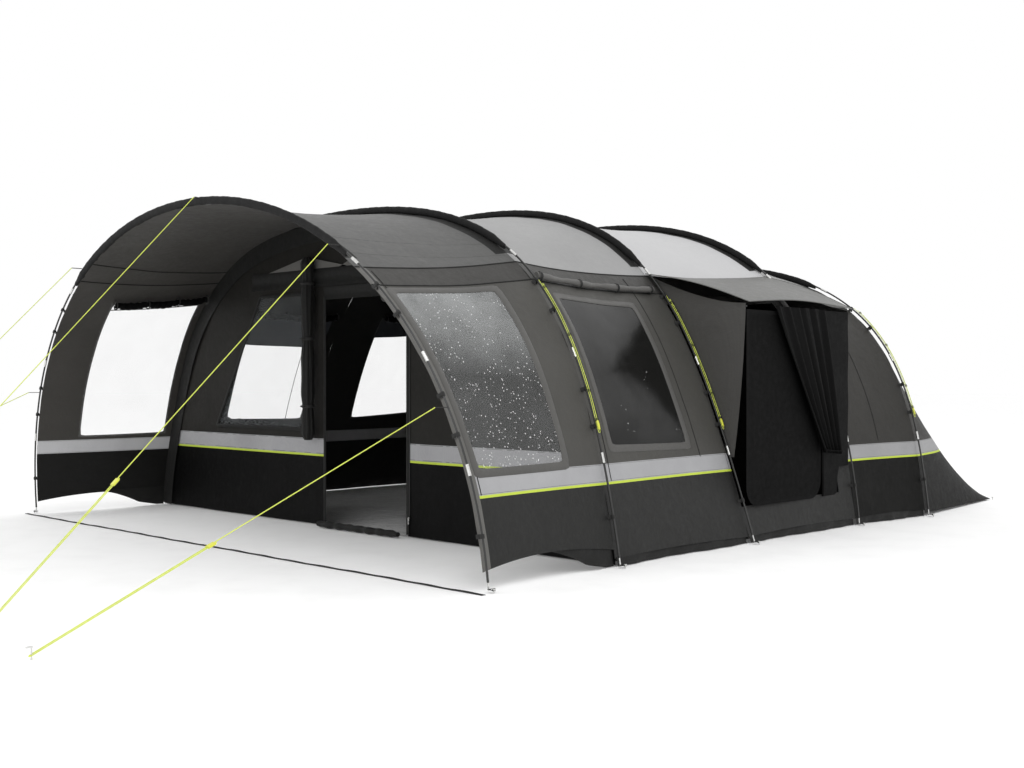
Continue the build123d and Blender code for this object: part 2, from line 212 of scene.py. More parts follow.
# ---------------------------------------------------------------- materials


def linear(rgb):
    """Linear colour from display values of 0 to 255."""
    shares = (value / 255 for value in rgb)
    return tuple(c / 12.92 if c <= 0.04045 else ((c + 0.055) / 1.055) ** 2.4 for c in shares)


def scaled(base, factor, more=0.0):
    """A colour made lighter or darker."""
    return tuple(min(1.0, c * factor + more) for c in base)


class Nodes:
    """Short calls for building a material."""

    def __init__(self, name):
        self.material = bpy.data.materials.new(name)
        self.material.use_nodes = True
        self.tree = self.material.node_tree
        self.tree.nodes.clear()
        self.output = self.add("ShaderNodeOutputMaterial")
        self.shader = self.add("ShaderNodeBsdfPrincipled")
        self.link(self.shader.outputs[0], self.output.inputs[0])
        self.coords = self.add("ShaderNodeTexCoord").outputs["Object"]

    def add(self, kind, **values):
        node = self.tree.nodes.new(kind)
        for key, value in values.items():
            setattr(node, key, value)
        return node

    def link(self, a, b):
        self.tree.links.new(a, b)

    def fill(self, node, **values):
        """Sets plain numbers on a node's sockets; an underscore stands for a space."""
        for key, value in values.items():
            node.inputs[key.replace("_", " ")].default_value = value
        return node

    def noise(self, scale, detail=3.0, rough=0.5):
        node = self.fill(self.add("ShaderNodeTexNoise"), Scale=scale, Detail=detail, Roughness=rough)
        self.link(self.coords, node.inputs["Vector"])
        return node.outputs["Fac"]

    def height(self):
        node = self.add("ShaderNodeSeparateXYZ")
        self.link(self.coords, node.inputs[0])
        return node.outputs["Z"]

    def wave(self, scale, axis):
        node = self.add("ShaderNodeTexWave", wave_type="BANDS", bands_direction=axis)
        self.fill(node, Scale=scale, Distortion=0.0)
        self.link(self.coords, node.inputs["Vector"])
        return node.outputs["Fac"]

    def math(self, operation, *values):
        """A math node; each value is a number or the output of another node."""
        node = self.add("ShaderNodeMath", operation=operation)
        for socket, value in zip(node.inputs, values):
            if isinstance(value, (int, float)):
                socket.default_value = value
            else:
                self.link(value, socket)
        return node.outputs[0]

    def span(self, value, low, high, to_low, to_high):
        """Maps a value from one range to another."""
        node = self.add("ShaderNodeMapRange")
        self.fill(node, From_Min=low, From_Max=high, To_Min=to_low, To_Max=to_high)
        self.link(value, node.inputs["Value"])
        return node.outputs[0]

    def mix(self, factor, a, b):
        node = self.add("ShaderNodeMix", data_type="RGBA")
        self.link(factor, node.inputs[0])
        for socket, value in ((node.inputs[6], a), (node.inputs[7], b)):
            if isinstance(value, tuple):
                socket.default_value = (*value, 1.0)
            else:
                self.link(value, socket)
        return node.outputs[2]

    def times(self, color, tone):
        """A colour multiplied by a grey value."""
        node = self.add("ShaderNodeMix", data_type="RGBA", blend_type="MULTIPLY")
        node.inputs[0].default_value = 1.0
        self.link(color, node.inputs[6])
        self.link(tone, node.inputs[7])
        return node.outputs[2]

    def bump(self, height, strength, distance, normal=None):
        node = self.fill(self.add("ShaderNodeBump"), Strength=strength, Distance=distance)
        self.link(height, node.inputs["Height"])
        if normal is not None:
            self.link(normal, node.inputs["Normal"])
        return node.outputs[0]

    def weave(self, scale):
        """Threads that run along all three axes, so that every panel shows two of them."""
        across = self.math("MULTIPLY", self.wave(scale, "X"), self.wave(scale, "Y"))
        return self.math("ADD", across, self.wave(scale, "Z"))

    def rough(self, scale, low, high):
        """Roughness that wanders between two values."""
        return self.span(self.noise(scale), 0.2, 0.8, low, high)

    def finish(self, color, rough, normal):
        self.link(color, self.shader.inputs["Base Color"])
        self.link(rough, self.shader.inputs["Roughness"])
        self.link(normal, self.shader.inputs["Normal"])
        return self.material


def woven_normal(n, weave, crease):
    """Soft creases with the weave on top."""
    creases = n.bump(n.noise(7.0, 6.0, 0.62), crease, 0.012)
    return n.bump(n.weave(weave), 0.18, 0.0006, creases)


def cloth(name, base, rough=0.55, vary=0.10, sheen=0.04, weave=320.0, crease=0.5, gloss=0.2):
    """Coated polyester: fine weave, soft creases, slight change of colour."""
    n = Nodes(name)
    color = n.mix(n.noise(2.2, 4.0, 0.55), scaled(base, 1 - vary), scaled(base, 1 + vary, 0.002))
    color = n.times(color, n.span(n.weave(weave), 0.0, 2.0, 0.90, 1.06))
    n.fill(n.shader, Sheen_Weight=sheen, Sheen_Roughness=0.5, Specular_IOR_Level=gloss)
    return n.finish(color, n.rough(30.0, rough - 0.06, rough + 0.08), woven_normal(n, weave, crease))


def zoned_wall(name, zones, heights=(0.425, 0.438, 0.533), sheen=0.04, gloss=0.2):
    """Wall cloth whose colour changes with height: skirt, piping line, pale band, upper wall."""
    n = Nodes(name)
    skirt, piping, band, upper = zones
    height = n.height()
    color = n.mix(n.math("GREATER_THAN", height, heights[0]), skirt, piping)
    color = n.mix(n.math("GREATER_THAN", height, heights[1]), color, band)
    color = n.mix(n.math("GREATER_THAN", height, heights[2]), color, upper)
    rows = []
    for row in (heights[1] + 0.005, heights[2] - 0.005):
        rows.append(n.math("COMPARE", height, row, 0.0012))
    dashes = n.math("GREATER_THAN", n.wave(90.0, "Y"), 0.4)
    stitches = n.math("MULTIPLY", n.math("ADD", *rows), dashes)
    color = n.mix(stitches, color, linear((70, 70, 68)))
    shade = n.span(n.noise(2.6, 4.0, 0.55), 0.2, 0.8, 0.88, 1.12)
    thread = n.span(n.weave(320.0), 0.0, 2.0, 0.92, 1.05)
    color = n.times(color, n.math("MULTIPLY", shade, thread))
    n.fill(n.shader, Sheen_Weight=sheen, Specular_IOR_Level=gloss)
    return n.finish(color, n.rough(30.0, 0.48, 0.62), woven_normal(n, 320.0, 0.5))


def film_material(name, tint, alpha, drops=0.0, rough=0.05, veil=0.0, gloss=0.5):
    """Clear window film with faint ripples; where it is weathered, fine drops painted white as glints;
    for some films, a painted reflection that clouds it higher up.
    """
    n = Nodes(name)
    n.fill(n.shader, IOR=1.38, Specular_IOR_Level=gloss)
    # Drops on the film are real, but their white colour is a painted glint.
    cells = n.fill(n.add("ShaderNodeTexVoronoi"), Scale=62.0)
    n.link(n.coords, cells.inputs["Vector"])
    low = n.span(n.height(), 0.55, 1.35, 0.0, 0.13)
    cover = n.math("GREATER_THAN", n.noise(7.0, 5.0, 0.7), n.math("ADD", low, 1.0 - drops))
    chosen = n.math("GREATER_THAN", cells.outputs["Color"], 0.50)
    small = n.math("LESS_THAN", cells.outputs["Distance"], 0.21)
    dots = n.math("MULTIPLY", n.math("MULTIPLY", small, chosen), cover)
    color = n.mix(dots, linear(tint), (0.80, 0.80, 0.80))
    smear = n.span(n.noise(4.0, 6.0, 0.7), 0.35, 0.75, alpha * 0.85, min(0.98, alpha * 1.3))
    # Painted reflection: from 1 m up the film grows cloudier in its pale tint, standing in for a
    # reflection of the studio.
    high = n.span(n.height(), 1.0, 1.5, 0.0, 1.0)
    haze = n.math("MULTIPLY", high, n.span(n.noise(2.2, 4.0, 0.6), 0.35, 0.6, veil * 0.4, veil))
    cloudy = n.math("ADD", smear, haze)
    n.link(n.math("MAXIMUM", cloudy, n.math("MULTIPLY", dots, 0.6)), n.shader.inputs["Alpha"])
    ripple = n.bump(n.noise(3.0, 2.0, 0.4), 0.2, 0.012)
    return n.finish(color, n.span(n.noise(18.0, 6.0, 0.7), 0.3, 0.8, rough, rough + 0.12), ripple)


def webbing(name, base, scale=420.0):
    """Woven tape with a strong rib."""
    n = Nodes(name)
    color = n.mix(n.noise(60.0), scaled(base, 0.8), scaled(base, 1.25, 0.003))
    return n.finish(color, n.rough(40.0, 0.62, 0.78), n.bump(n.weave(scale), 0.5, 0.001))


def hard(name, rgb, rough, metal=0.0, coat=0.0, scratch=80.0, glow=0.0):
    """Moulded plastic, fibreglass or metal with fine wear."""
    n = Nodes(name)
    base = linear(rgb)
    color = n.mix(n.noise(scratch, 5.0, 0.6), scaled(base, 0.88), scaled(base, 1.08, 0.002))
    n.fill(n.shader, Metallic=metal, Coat_Weight=coat)
    if glow:
        n.fill(n.shader, Emission_Color=(1.0, 1.0, 1.0, 1.0), Emission_Strength=glow)
    normal = n.bump(n.noise(scratch * 3, 4.0), 0.08, 0.0008)
    return n.finish(color, n.rough(scratch, rough * 0.8, rough * 1.2), normal)


def mesh_cloth(name, rgb):
    """Insect mesh: a dark net with a little light through it."""
    n = Nodes(name)
    base = linear(rgb)
    n.fill(n.shader, Specular_IOR_Level=0.08)
    net = n.math("MAXIMUM", n.wave(150.0, "Y"), n.wave(150.0, "Z"))
    color = n.mix(net, scaled(base, 0.4), scaled(base, 1.6, 0.001))
    normal = n.bump(net, 0.4, 0.0012, n.bump(n.noise(5.0, 4.0), 0.5, 0.015))
    return n.finish(color, n.rough(30.0, 0.6, 0.75), normal)


MATERIALS = {}


def build_materials():
    """Makes every material once, by the short names that the pieces use."""
    own = settings()
    band, piping = tuple(own.band_color), tuple(own.piping_color)
    skirt, lined = linear((31, 31, 30)), linear((17, 17, 16))
    lined_dark = linear((22, 22, 21))
    front = (linear((9, 9, 9)), linear((186, 204, 76)), linear((158, 158, 160)), linear((38, 37, 35)))
    MATERIALS.update(
        roof_0=cloth("RoofMid", tuple(own.canopy_color), 0.5),
        roof_1=cloth("RoofLight", tuple(own.middle_color), 0.5),
        roof_2=cloth("RoofPale", tuple(own.rear_color), 0.5, 0.05),
        roof_3=cloth("RoofEnd", tuple(own.end_color), 0.5),
        shoulder=cloth("ShoulderCloth", linear((57, 56, 54)), 0.5),
        wall=zoned_wall("WallCloth", (skirt, piping, band, tuple(own.wall_color))),
        # The wall cloth again with a darker skirt, band and upper wall: painted shade where the light
        # falls off at the rear. The last bay and the tail wear it.
        end_wall=zoned_wall(
            "EndWallCloth",
            (linear((21, 21, 20)), piping, linear((156, 156, 157)), linear((59, 58, 56))),
            sheen=0.0,
            gloss=0.07,
        ),
        front=zoned_wall("FrontWallCloth", front, (0.466, 0.480, 0.584), sheen=0.0, gloss=0.07),
        lining=zoned_wall("LiningCloth", (lined, lined, linear((192, 192, 194)), linear((64, 62, 59)))),
        # The lining again with a darker band and upper part: painted shade inside the enclosed bays and
        # the tail, where less light reaches than under the open canopy.
        lining_dark=zoned_wall(
            "LiningDark", (lined_dark, lined_dark, linear((165, 165, 167)), linear((40, 39, 37)))
        ),
        lining_plain=cloth("LiningPlain", linear((50, 49, 47)), 0.6, 0.12),
        edge=cloth("EdgeFacing", linear((98, 97, 94)), 0.5),
        black=cloth("BlackCloth", linear((24, 24, 23)), 0.65, 0.15, 0.03),
        deep=cloth("DeepBlackCloth", linear((14, 14, 14)), 0.75, 0.1, 0.0, gloss=0.08),
        sleeve=cloth("SleeveCloth", linear((20, 20, 20)), 0.7, 0.12, 0.0),
        frame=cloth("WindowFrameCloth", linear((84, 83, 81)), 0.45),
        curtain=cloth("CurtainCloth", linear((9, 9, 9)), 0.65, 0.15, 0.0, gloss=0.08),
        storm_flap=cloth("StormFlapCloth", linear((88, 87, 85)), 0.5),
        blind=cloth("BlindCloth", linear((72, 74, 79)), 0.6, 0.05),
        gusset=cloth("GussetCloth", linear((72, 71, 69)), 0.5),
        porch=cloth("PorchCloth", linear((104, 104, 102)), 0.5),
        ground=cloth("GroundsheetCloth", linear((190, 190, 189)), 0.18, 0.10, 0.0, 110.0, 0.9),
        film=film_material("ClearFilm", (190, 194, 196), 0.05),
        # Film of the canopy's right window: drops painted white as glints, and a painted reflection
        # clouding its upper part.
        film_wet=film_material("WeatheredFilm", (176, 178, 178), 0.07, 0.60, 0.05, 0.46),
        # Film of the middle bay's right window: nearly opaque and dark, painted shade of the dark inside
        # behind it.
        film_dark=film_material("TintedFilm", (24, 24, 23), 0.98, 0.43, 0.12, gloss=0.22),
        mesh=mesh_cloth("InsectMesh", (2, 2, 2)),
        webbing=webbing("BlackWebbing", linear((24, 24, 23))),
        lime=webbing("LimeCord", tuple(own.cord_color), 900.0),
        pole=hard("PoleFibreglass", (26, 26, 25), 0.32, coat=0.3),
        metal=hard("BrightSteel", (214, 214, 212), 0.28, 1.0),
        runner=hard("RunnerPlastic", (206, 208, 62), 0.35, coat=0.2),
        zip=hard("ZipTape", (20, 20, 20), 0.6),
        floor=hard("StudioFloor", (253, 253, 253), 0.95, scratch=4.0, glow=0.06),
    )


# ---------------------------------------------------------------- mesh helpers


def finish_piece(name, bm, slots, body="tent", replaces=(), angle=40.0):
    """Turns a bmesh into a piece that rides on a body."""
    mesh = bpy.data.meshes.new(name)
    bm.to_mesh(mesh)
    bm.free()
    for slot in slots:
        mesh.materials.append(MATERIALS[slot])
    mesh.polygons.foreach_set("use_smooth", [True] * len(mesh.polygons))
    mesh.set_sharp_from_angle(angle=math.radians(angle))
    piece = bpy.data.objects.new(name, mesh)
    bpy.context.scene.collection.objects.link(piece)
    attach(piece, body)
    if replaces:
        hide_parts(*replaces)
    return piece


def spread(marks, step):
    """All the marks in order, with more between them so that none is further than step from the next."""
    marks = sorted(set(marks))
    result = [marks[0]]
    for a, b in zip(marks, marks[1:]):
        parts = max(1, math.ceil((b - a) / step))
        result += [a + (b - a) * k / parts for k in range(1, parts + 1)]
    return result


def unit(step):
    """Marks from 0 to 1, none further than step from the next."""
    return spread({0.0, 1.0}, step)


def add_sheet(bm, columns, rows, place, zone, thick, outward, inner=None):
    """A curved sheet over a grid of columns and rows, solidified.

    zone is a material index, or gives one at (u, s), or None where the sheet is open.
    """
    part = bmesh.new()
    bmesh.ops.create_grid(part, x_segments=len(columns) - 1, y_segments=len(rows) - 1, size=1.0)
    spots = {}
    for vertex in part.verts:
        i = round((vertex.co.x + 1) / 2 * (len(columns) - 1))
        j = round((vertex.co.y + 1) / 2 * (len(rows) - 1))
        spots[vertex.index] = (columns[i], rows[j])
    gone = []
    for face in part.faces:
        u = sum(spots[v.index][0] for v in face.verts) / 4
        s = sum(spots[v.index][1] for v in face.verts) / 4
        index = zone(u, s) if callable(zone) else zone
        if index is None:
            gone.append(face)
        else:
            face.material_index = index
    for vertex in part.verts:
        vertex.co = place(*spots[vertex.index])
    if gone:
        bmesh.ops.delete(part, geom=gone, context="FACES")
    part.normal_update()
    turned = [f for f in part.faces if f.normal.dot(outward(f.calc_center_median())) < 0]
    bmesh.ops.reverse_faces(part, faces=turned)
    part.normal_update()
    bmesh.ops.solidify(part, geom=part.faces[:], thickness=thick)
    part.normal_update()
    if inner is not None:
        for face in part.faces:
            if face.normal.dot(outward(face.calc_center_median())) < -0.2:
                face.material_index = inner
    join(bm, part)


def join(bm, part):
    """Moves one bmesh into another."""
    mesh = bpy.data.meshes.new("part")
    part.to_mesh(mesh)
    part.free()
    bm.from_mesh(mesh)
    bpy.data.meshes.remove(mesh)


def add_tube(bm, count, sides, place, index=0, closed=False):
    """A grid rolled up into a tube: place(k, n) is point n of ring k."""
    part = bmesh.new()
    across = count if closed else count - 1
    bmesh.ops.create_grid(part, x_segments=across, y_segments=sides, size=1.0)
    for vertex in part.verts:
        k = round((vertex.co.x + 1) / 2 * across)
        n = round((vertex.co.y + 1) / 2 * sides)
        vertex.co = place(k % count, n % sides)
    bmesh.ops.remove_doubles(part, verts=part.verts[:], dist=1e-6)
    if not closed:
        bmesh.ops.holes_fill(part, edges=part.edges[:], sides=0)
    for face in part.faces:
        face.material_index = index
    bmesh.ops.recalc_face_normals(part, faces=part.faces[:])
    join(bm, part)


def add_strand(bm, points, radius, index=0, sides=8, flat=1.0, up=None, closed=False):
    """A round or flat strand along points. A closed one joins its last point to its first."""
    count = len(points)
    frames = []
    for k, point in enumerate(points):
        if closed:
            ahead = points[(k + 1) % count] - points[k - 1]
        else:
            ahead = points[min(k + 1, count - 1)] - points[max(k - 1, 0)]
        ahead.normalize()
        if up:
            guide = up(point)
        else:
            guide = to_top(point) if abs(ahead.z) < 0.9 else to_right(point)
        side = ahead.cross(guide).normalized()
        over = side.cross(ahead).normalized()
        reach = radius(k / (count - 1)) if callable(radius) else radius
        frames.append((point, side * reach, over * reach * flat))

    def place(k, n):
        point, side, over = frames[k]
        angle = 2 * math.pi * n / sides
        return point + side * math.cos(angle) + over * math.sin(angle)

    add_tube(bm, count, sides, place, index, closed)


def spline(name, points, diameter):
    """A round cord whose smooth line has these points as its controls."""
    curve = bpy.data.curves.new(name, "CURVE")
    curve.dimensions = "3D"
    curve.bevel_depth = diameter / 2
    curve.bevel_resolution = 2
    curve.resolution_u = 12
    curve.use_fill_caps = True
    path = curve.splines.new("NURBS")
    path.points.add(len(points) - 1)
    for place, point in zip(path.points, points):
        place.co = (*point, 1.0)
    path.order_u = 3
    path.use_endpoint_u = True
    curve.materials.append(MATERIALS["lime"])
    piece = bpy.data.objects.new(name, curve)
    bpy.context.scene.collection.objects.link(piece)
    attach(piece, "tent")
    return piece


def from_axis(point):
    """Outwards from the tent's own long axis."""
    return Vector((point.x, 0.0, point.z - 0.35)).normalized()


def to_front(_point):
    return Vector((0, -1, 0))


def to_rear(_point):
    return Vector((0, 1, 0))


def to_right(_point):
    return Vector((1, 0, 0))


def to_top(_point):
    return Vector((0, 0, 1))


def rounded_loop(u0, u1, s0, s1, long, high, radius, count=120):
    """A rounded rectangle in the u and s of a panel that is long by high metres."""
    width, height = (u1 - u0) * long, (s1 - s0) * high
    loop = []
    for k in range(count):
        angle = 2 * math.pi * k / count
        c, s = math.cos(angle), math.sin(angle)
        reach = 1 / max(abs(c), abs(s), 1e-6)
        x, y = c * reach * width / 2, s * reach * height / 2
        cx, cy = width / 2 - radius, height / 2 - radius
        dx, dy = max(abs(x) - cx, 0), max(abs(y) - cy, 0)
        if dx > 0 and dy > 0:
            length = math.hypot(dx, dy)
            dx, dy = dx / length * radius, dy / length * radius
            x, y = math.copysign(cx + dx, x), math.copysign(cy + dy, y)
        loop.append(((u0 + u1) / 2 + x / long, (s0 + s1) / 2 + y / high))
    return loop


def add_ring(bm, place, outer, inner, index, lift, thick=THIN_CLOTH):
    """A flat welded border between two loops of a panel."""
    section = (
        (0.0, thick),
        (0.08, lift + thick),
        (0.92, lift + thick),
        (1.0, thick),
        (1.0, -thick),
        (0.0, -thick),
    )

    def spot(k, n):
        share, up = section[n]
        a, b = outer[k], inner[k]
        return place(a[0] + (b[0] - a[0]) * share, a[1] + (b[1] - a[1]) * share, up)

    add_tube(bm, len(outer), len(section), spot, index, closed=True)


# ---------------------------------------------------------------- settings


def color_property(name, description, rgb):
    """A colour that a user may change."""
    return bpy.props.FloatVectorProperty(
        name=name, description=description, default=linear(rgb), subtype="COLOR", size=3, min=0.0, max=1.0
    )


class TentSettings(bpy.types.PropertyGroup):
    """Sizes and colours of the tent"""

    panel_step: bpy.props.FloatProperty(
        name="Panel step", description="Largest gap of the skin's grid", default=0.035, unit="LENGTH"
    )
    cord_diameter: bpy.props.FloatProperty(
        name="Guy line", description="Diameter of the guy lines", default=0.005, unit="LENGTH"
    )
    lens: bpy.props.FloatProperty(
        name="Lens", description="Focal length of the camera", default=42.99, unit="CAMERA"
    )
    canopy_color: color_property("Canopy roof", "Roof of the first bay", (83, 83, 82))
    middle_color: color_property("Middle roof", "Roof of the second bay", (149, 149, 149))
    rear_color: color_property("Rear roof", "Roof of the third bay", (190, 190, 191))
    end_color: color_property("End roof", "Roof of the last bay", (128, 128, 127))
    wall_color: color_property("Walls", "Upper part of the side walls", (71, 70, 67))
    band_color: color_property("Band", "Pale band along the side walls", (162, 162, 164))
    piping_color: color_property("Piping", "Line between the band and the skirt", (190, 208, 74))
    cord_color: color_property("Cords", "Guy lines", (214, 226, 96))


def settings():
    """The tent's settings in this scene."""
    return bpy.context.scene.tent_settings


# ---------------------------------------------------------------- pieces


class TENT_OT_fly(bpy.types.Operator):
    """Builds the skin of the four bays"""

    bl_idname = "tent.fly"
    bl_label = "Fly"

    def execute(self, context):
        step = settings().panel_step
        for i, bay in enumerate(BAYS):
            long = STATIONS[i + 1] - STATIONS[i]
            marks_u, marks_s = {0.0, 1.0}, {HEM, SHOULDER, SEAM, 2 - SEAM, 2 - SHOULDER, 2 - HEM}
            holes = []
            for (bay_index, side), (u0, u1, s0, s1) in WINDOWS.items():
                if bay_index != i:
                    continue
                marks_u |= {u0, u1}
                low, high = sorted((on_side(s0, side), on_side(s1, side)))
                marks_s |= {low, high}
                holes.append((u0, u1, low, high))
            flange = EDGE_WIDTH / long
            marks_u |= {flange, 1 - flange}
            marks_s |= {EDGE_START, 2 - EDGE_START}
            if i == 0:
                marks_u |= {CANOPY_FACING}
            if i == 2:
                marks_u |= set(PORCH_OPENING[:2])
                marks_s |= set(PORCH_OPENING[2:])
                holes.append(PORCH_OPENING)

            def place(u, s, i=i):
                """The skin, with its lower edge lifted off the ground between the hoops."""
                half = half_way(s)
                middle = 4 * u * (1 - u)
                foot = 0.026 + 0.012 * middle if i == 0 else 0.012 + 0.004 * middle
                if half < 0.12:
                    half = max(half, foot + (half - HEM) * (0.12 - foot) / (0.12 - HEM))
                return skin_point(i, u, half if s <= 1 else 2 - half)

            def zone(u, s, i=i, holes=tuple(holes), flange=flange):
                if any(u0 < u < u1 and s0 < s < s1 for u0, u1, s0, s1 in holes):
                    return None
                half = half_way(s)
                if i == 0 and u < CANOPY_FACING and half < SEAM:
                    return 4
                if half > EDGE_START and not flange < u < 1 - flange:
                    return 5
                if half > SEAM:
                    return 0
                return 1 if half > SHOULDER else 2

            bm = bmesh.new()
            columns = spread(marks_u, step / long)
            rows = spread(marks_s, step / 3.5)
            add_sheet(bm, columns, rows, place, zone, CLOTH, from_axis, inner=3)
            for seam in (SEAM, SHOULDER, 2 - SEAM, 2 - SHOULDER):
                points = [skin_point(i, u, seam, 0.0015) for u in unit(0.02)]
                add_strand(bm, points, 0.0045, 5, 6, 0.5, from_axis)
            for u, low, high in SEAMS[i]:
                for side in (0, 2):
                    points = [skin_point(i, u, abs(side - m), 0.0012) for m in spread({low, high}, 0.01)]
                    add_strand(bm, points, 0.003, 5, 6, 0.5, from_axis)
            if i == 0:
                for first, last in ((0.637, 0.588), (0.575, 0.550)):
                    for side in (0, 2):
                        points = []
                        for k in range(41):
                            mark = first + (last - first) * k / 40
                            points.append(skin_point(i, k / 40, abs(side - mark), -0.0025))
                        add_strand(bm, points, 0.005, 5, 6, 0.5, from_axis)
            # The last bay takes the painted-shade copy of the wall; every bay but the canopy takes the
            # painted-shade copy of the lining.
            wall, lining = "end_wall" if i == 3 else "wall", "lining" if i == 0 else "lining_dark"
            slots = (f"roof_{i}", "shoulder", wall, lining, "edge", "black")
            names = (f"roof_{bay}", "walls_right", "walls_left") if i == 0 else (f"roof_{bay}",)
            piece = finish_piece(f"fly_{bay}", bm, slots, replaces=names)
        return {"FINISHED"}


class TENT_OT_tail(bpy.types.Operator):
    """Builds the pitched tail"""

    bl_idname = "tent.tail"
    bl_label = "Tail"

    def execute(self, context):
        bm = bmesh.new()
        columns = unit(0.022)
        rows = spread({HEM, SEAM, 2 - SEAM, 2 - HEM}, 0.012)

        def zone(u, s):
            return 1 if half_way(s) > SEAM else 0

        def outward(point):
            return Vector((point.x * 0.4, 1.0, 0.8)).normalized()

        add_sheet(bm, columns, rows, tail_point, zone, CLOTH, outward, 2)
        for seam in (SEAM, 2 - SEAM, 0.8, 1.2):
            points = [tail_point(u, seam, 0.0015) for u in unit(0.02)]
            add_strand(bm, points, 0.0045, 3, 6, 0.5, outward)
        # The tail wears the painted-shade copies of the wall cloth and of the lining.
        piece = finish_piece(
            "fly_tail", bm, ("end_wall", "shoulder", "lining_dark", "black"), replaces=("tail",)
        )
        return {"FINISHED"}


class TENT_OT_windows(bpy.types.Operator):
    """Builds the side windows, their welded frames and their rolled curtains"""

    bl_idname = "tent.windows"
    bl_label = "Windows"

    def execute(self, context):
        frames, films, rolls, blinds = bmesh.new(), bmesh.new(), bmesh.new(), bmesh.new()
        for (i, side), (u0, u1, s0, s1) in WINDOWS.items():
            long, high = STATIONS[i + 1] - STATIONS[i], TABLES[i][-1][0]

            def place(u, s, lift=0.0, i=i, side=side):
                return skin_point(i, u, on_side(s, side), lift)

            loops = []
            for margin, radius in ((0.030, 0.03), (-0.012, 0.02)):
                du, ds = margin / long, margin / high
                loops.append(rounded_loop(u0 - du, u1 + du, s0 - ds, s1 + ds, long, high, radius))
            add_ring(frames, place, *loops, 0, 0.0025)
            add_sheet(
                films,
                spread({u0 - 0.006, u1 + 0.006}, 0.03),
                spread({s0 - 0.003, s1 + 0.003}, 0.012),
                lambda u, s: place(u, s, -0.0008),
                0 if side < 0 else 1 + i,
                FILM,
                from_axis,
            )
            roll_s = s1 + 0.012
            points = []
            for k in range(61):
                u = u0 + (u1 - u0) * k / 60
                dip = 0.010 + 0.018 * abs(math.sin(3 * math.pi * k / 60))
                points.append(place(u, roll_s - dip / high, -0.045 - 0.004 * math.sin(k * 1.7)))

            def girth(t):
                return 0.021 + 0.006 * abs(math.sin(3 * math.pi * t)) + 0.0015 * math.sin(90 * t)

            add_strand(rolls, points, girth, 0, 14, 0.75, from_axis)
            for centre in points[::20]:
                loop = []
                for n in range(25):
                    angle = 2 * math.pi * n / 24
                    loop.append(centre + Vector((0.027 * math.cos(angle), 0.0, 0.030 * math.sin(angle))))
                add_strand(rolls, loop, 0.006, 1, 6, 0.3, to_rear)
            if side < 0 and i > 0:
                split = s0 + (s1 - s0) * (0.70 if i == 1 else 0.80)
                add_sheet(
                    blinds,
                    spread({u0, u1}, 0.03),
                    spread({split, s1}, 0.012),
                    lambda u, s: place(u, s, -0.012),
                    0,
                    THIN_CLOTH,
                    from_axis,
                )
        flap = []
        for k in range(81):
            u = 0.03 + 0.90 * k / 80
            sag = 0.010 + 0.006 * abs(math.sin(4 * math.pi * u))
            flap.append(skin_point(1, u, 0.492 - sag / 3.3, 0.024 + 0.003 * math.sin(23 * u)))

        def flap_girth(t):
            return 0.019 + 0.003 * math.sin(21 * t) + 0.0012 * math.sin(77 * t)

        bm = bmesh.new()
        add_strand(bm, flap, flap_girth, 0, 16, 0.8, from_axis)
        for u in (0.05, 0.35, 0.64, 0.91):
            middle = skin_point(1, u, 0.487, 0.024)
            loop = []
            for k in range(28):
                angle = math.pi * k / 14
                loop.append(middle + Vector((0.026 * math.cos(angle), 0.0, 0.026 * math.sin(angle))))
            add_strand(bm, loop, 0.008, 1, 6, 0.25, lambda p, c=middle: p - c, closed=True)
        piece = finish_piece("storm_flap_roll", bm, ("storm_flap", "webbing"))
        finish_piece("window_frames", frames, ("frame",))
        finish_piece(
            "window_films",
            films,
            ("film", "film_wet", "film_dark"),
            replaces=("side_windows",),
        )
        piece = finish_piece(
            "rolled_curtains",
            rolls,
            ("curtain", "webbing"),
            replaces=("curtain_rolls",),
        )
        finish_piece("half_blinds", blinds, ("blind",))
        return {"FINISHED"}


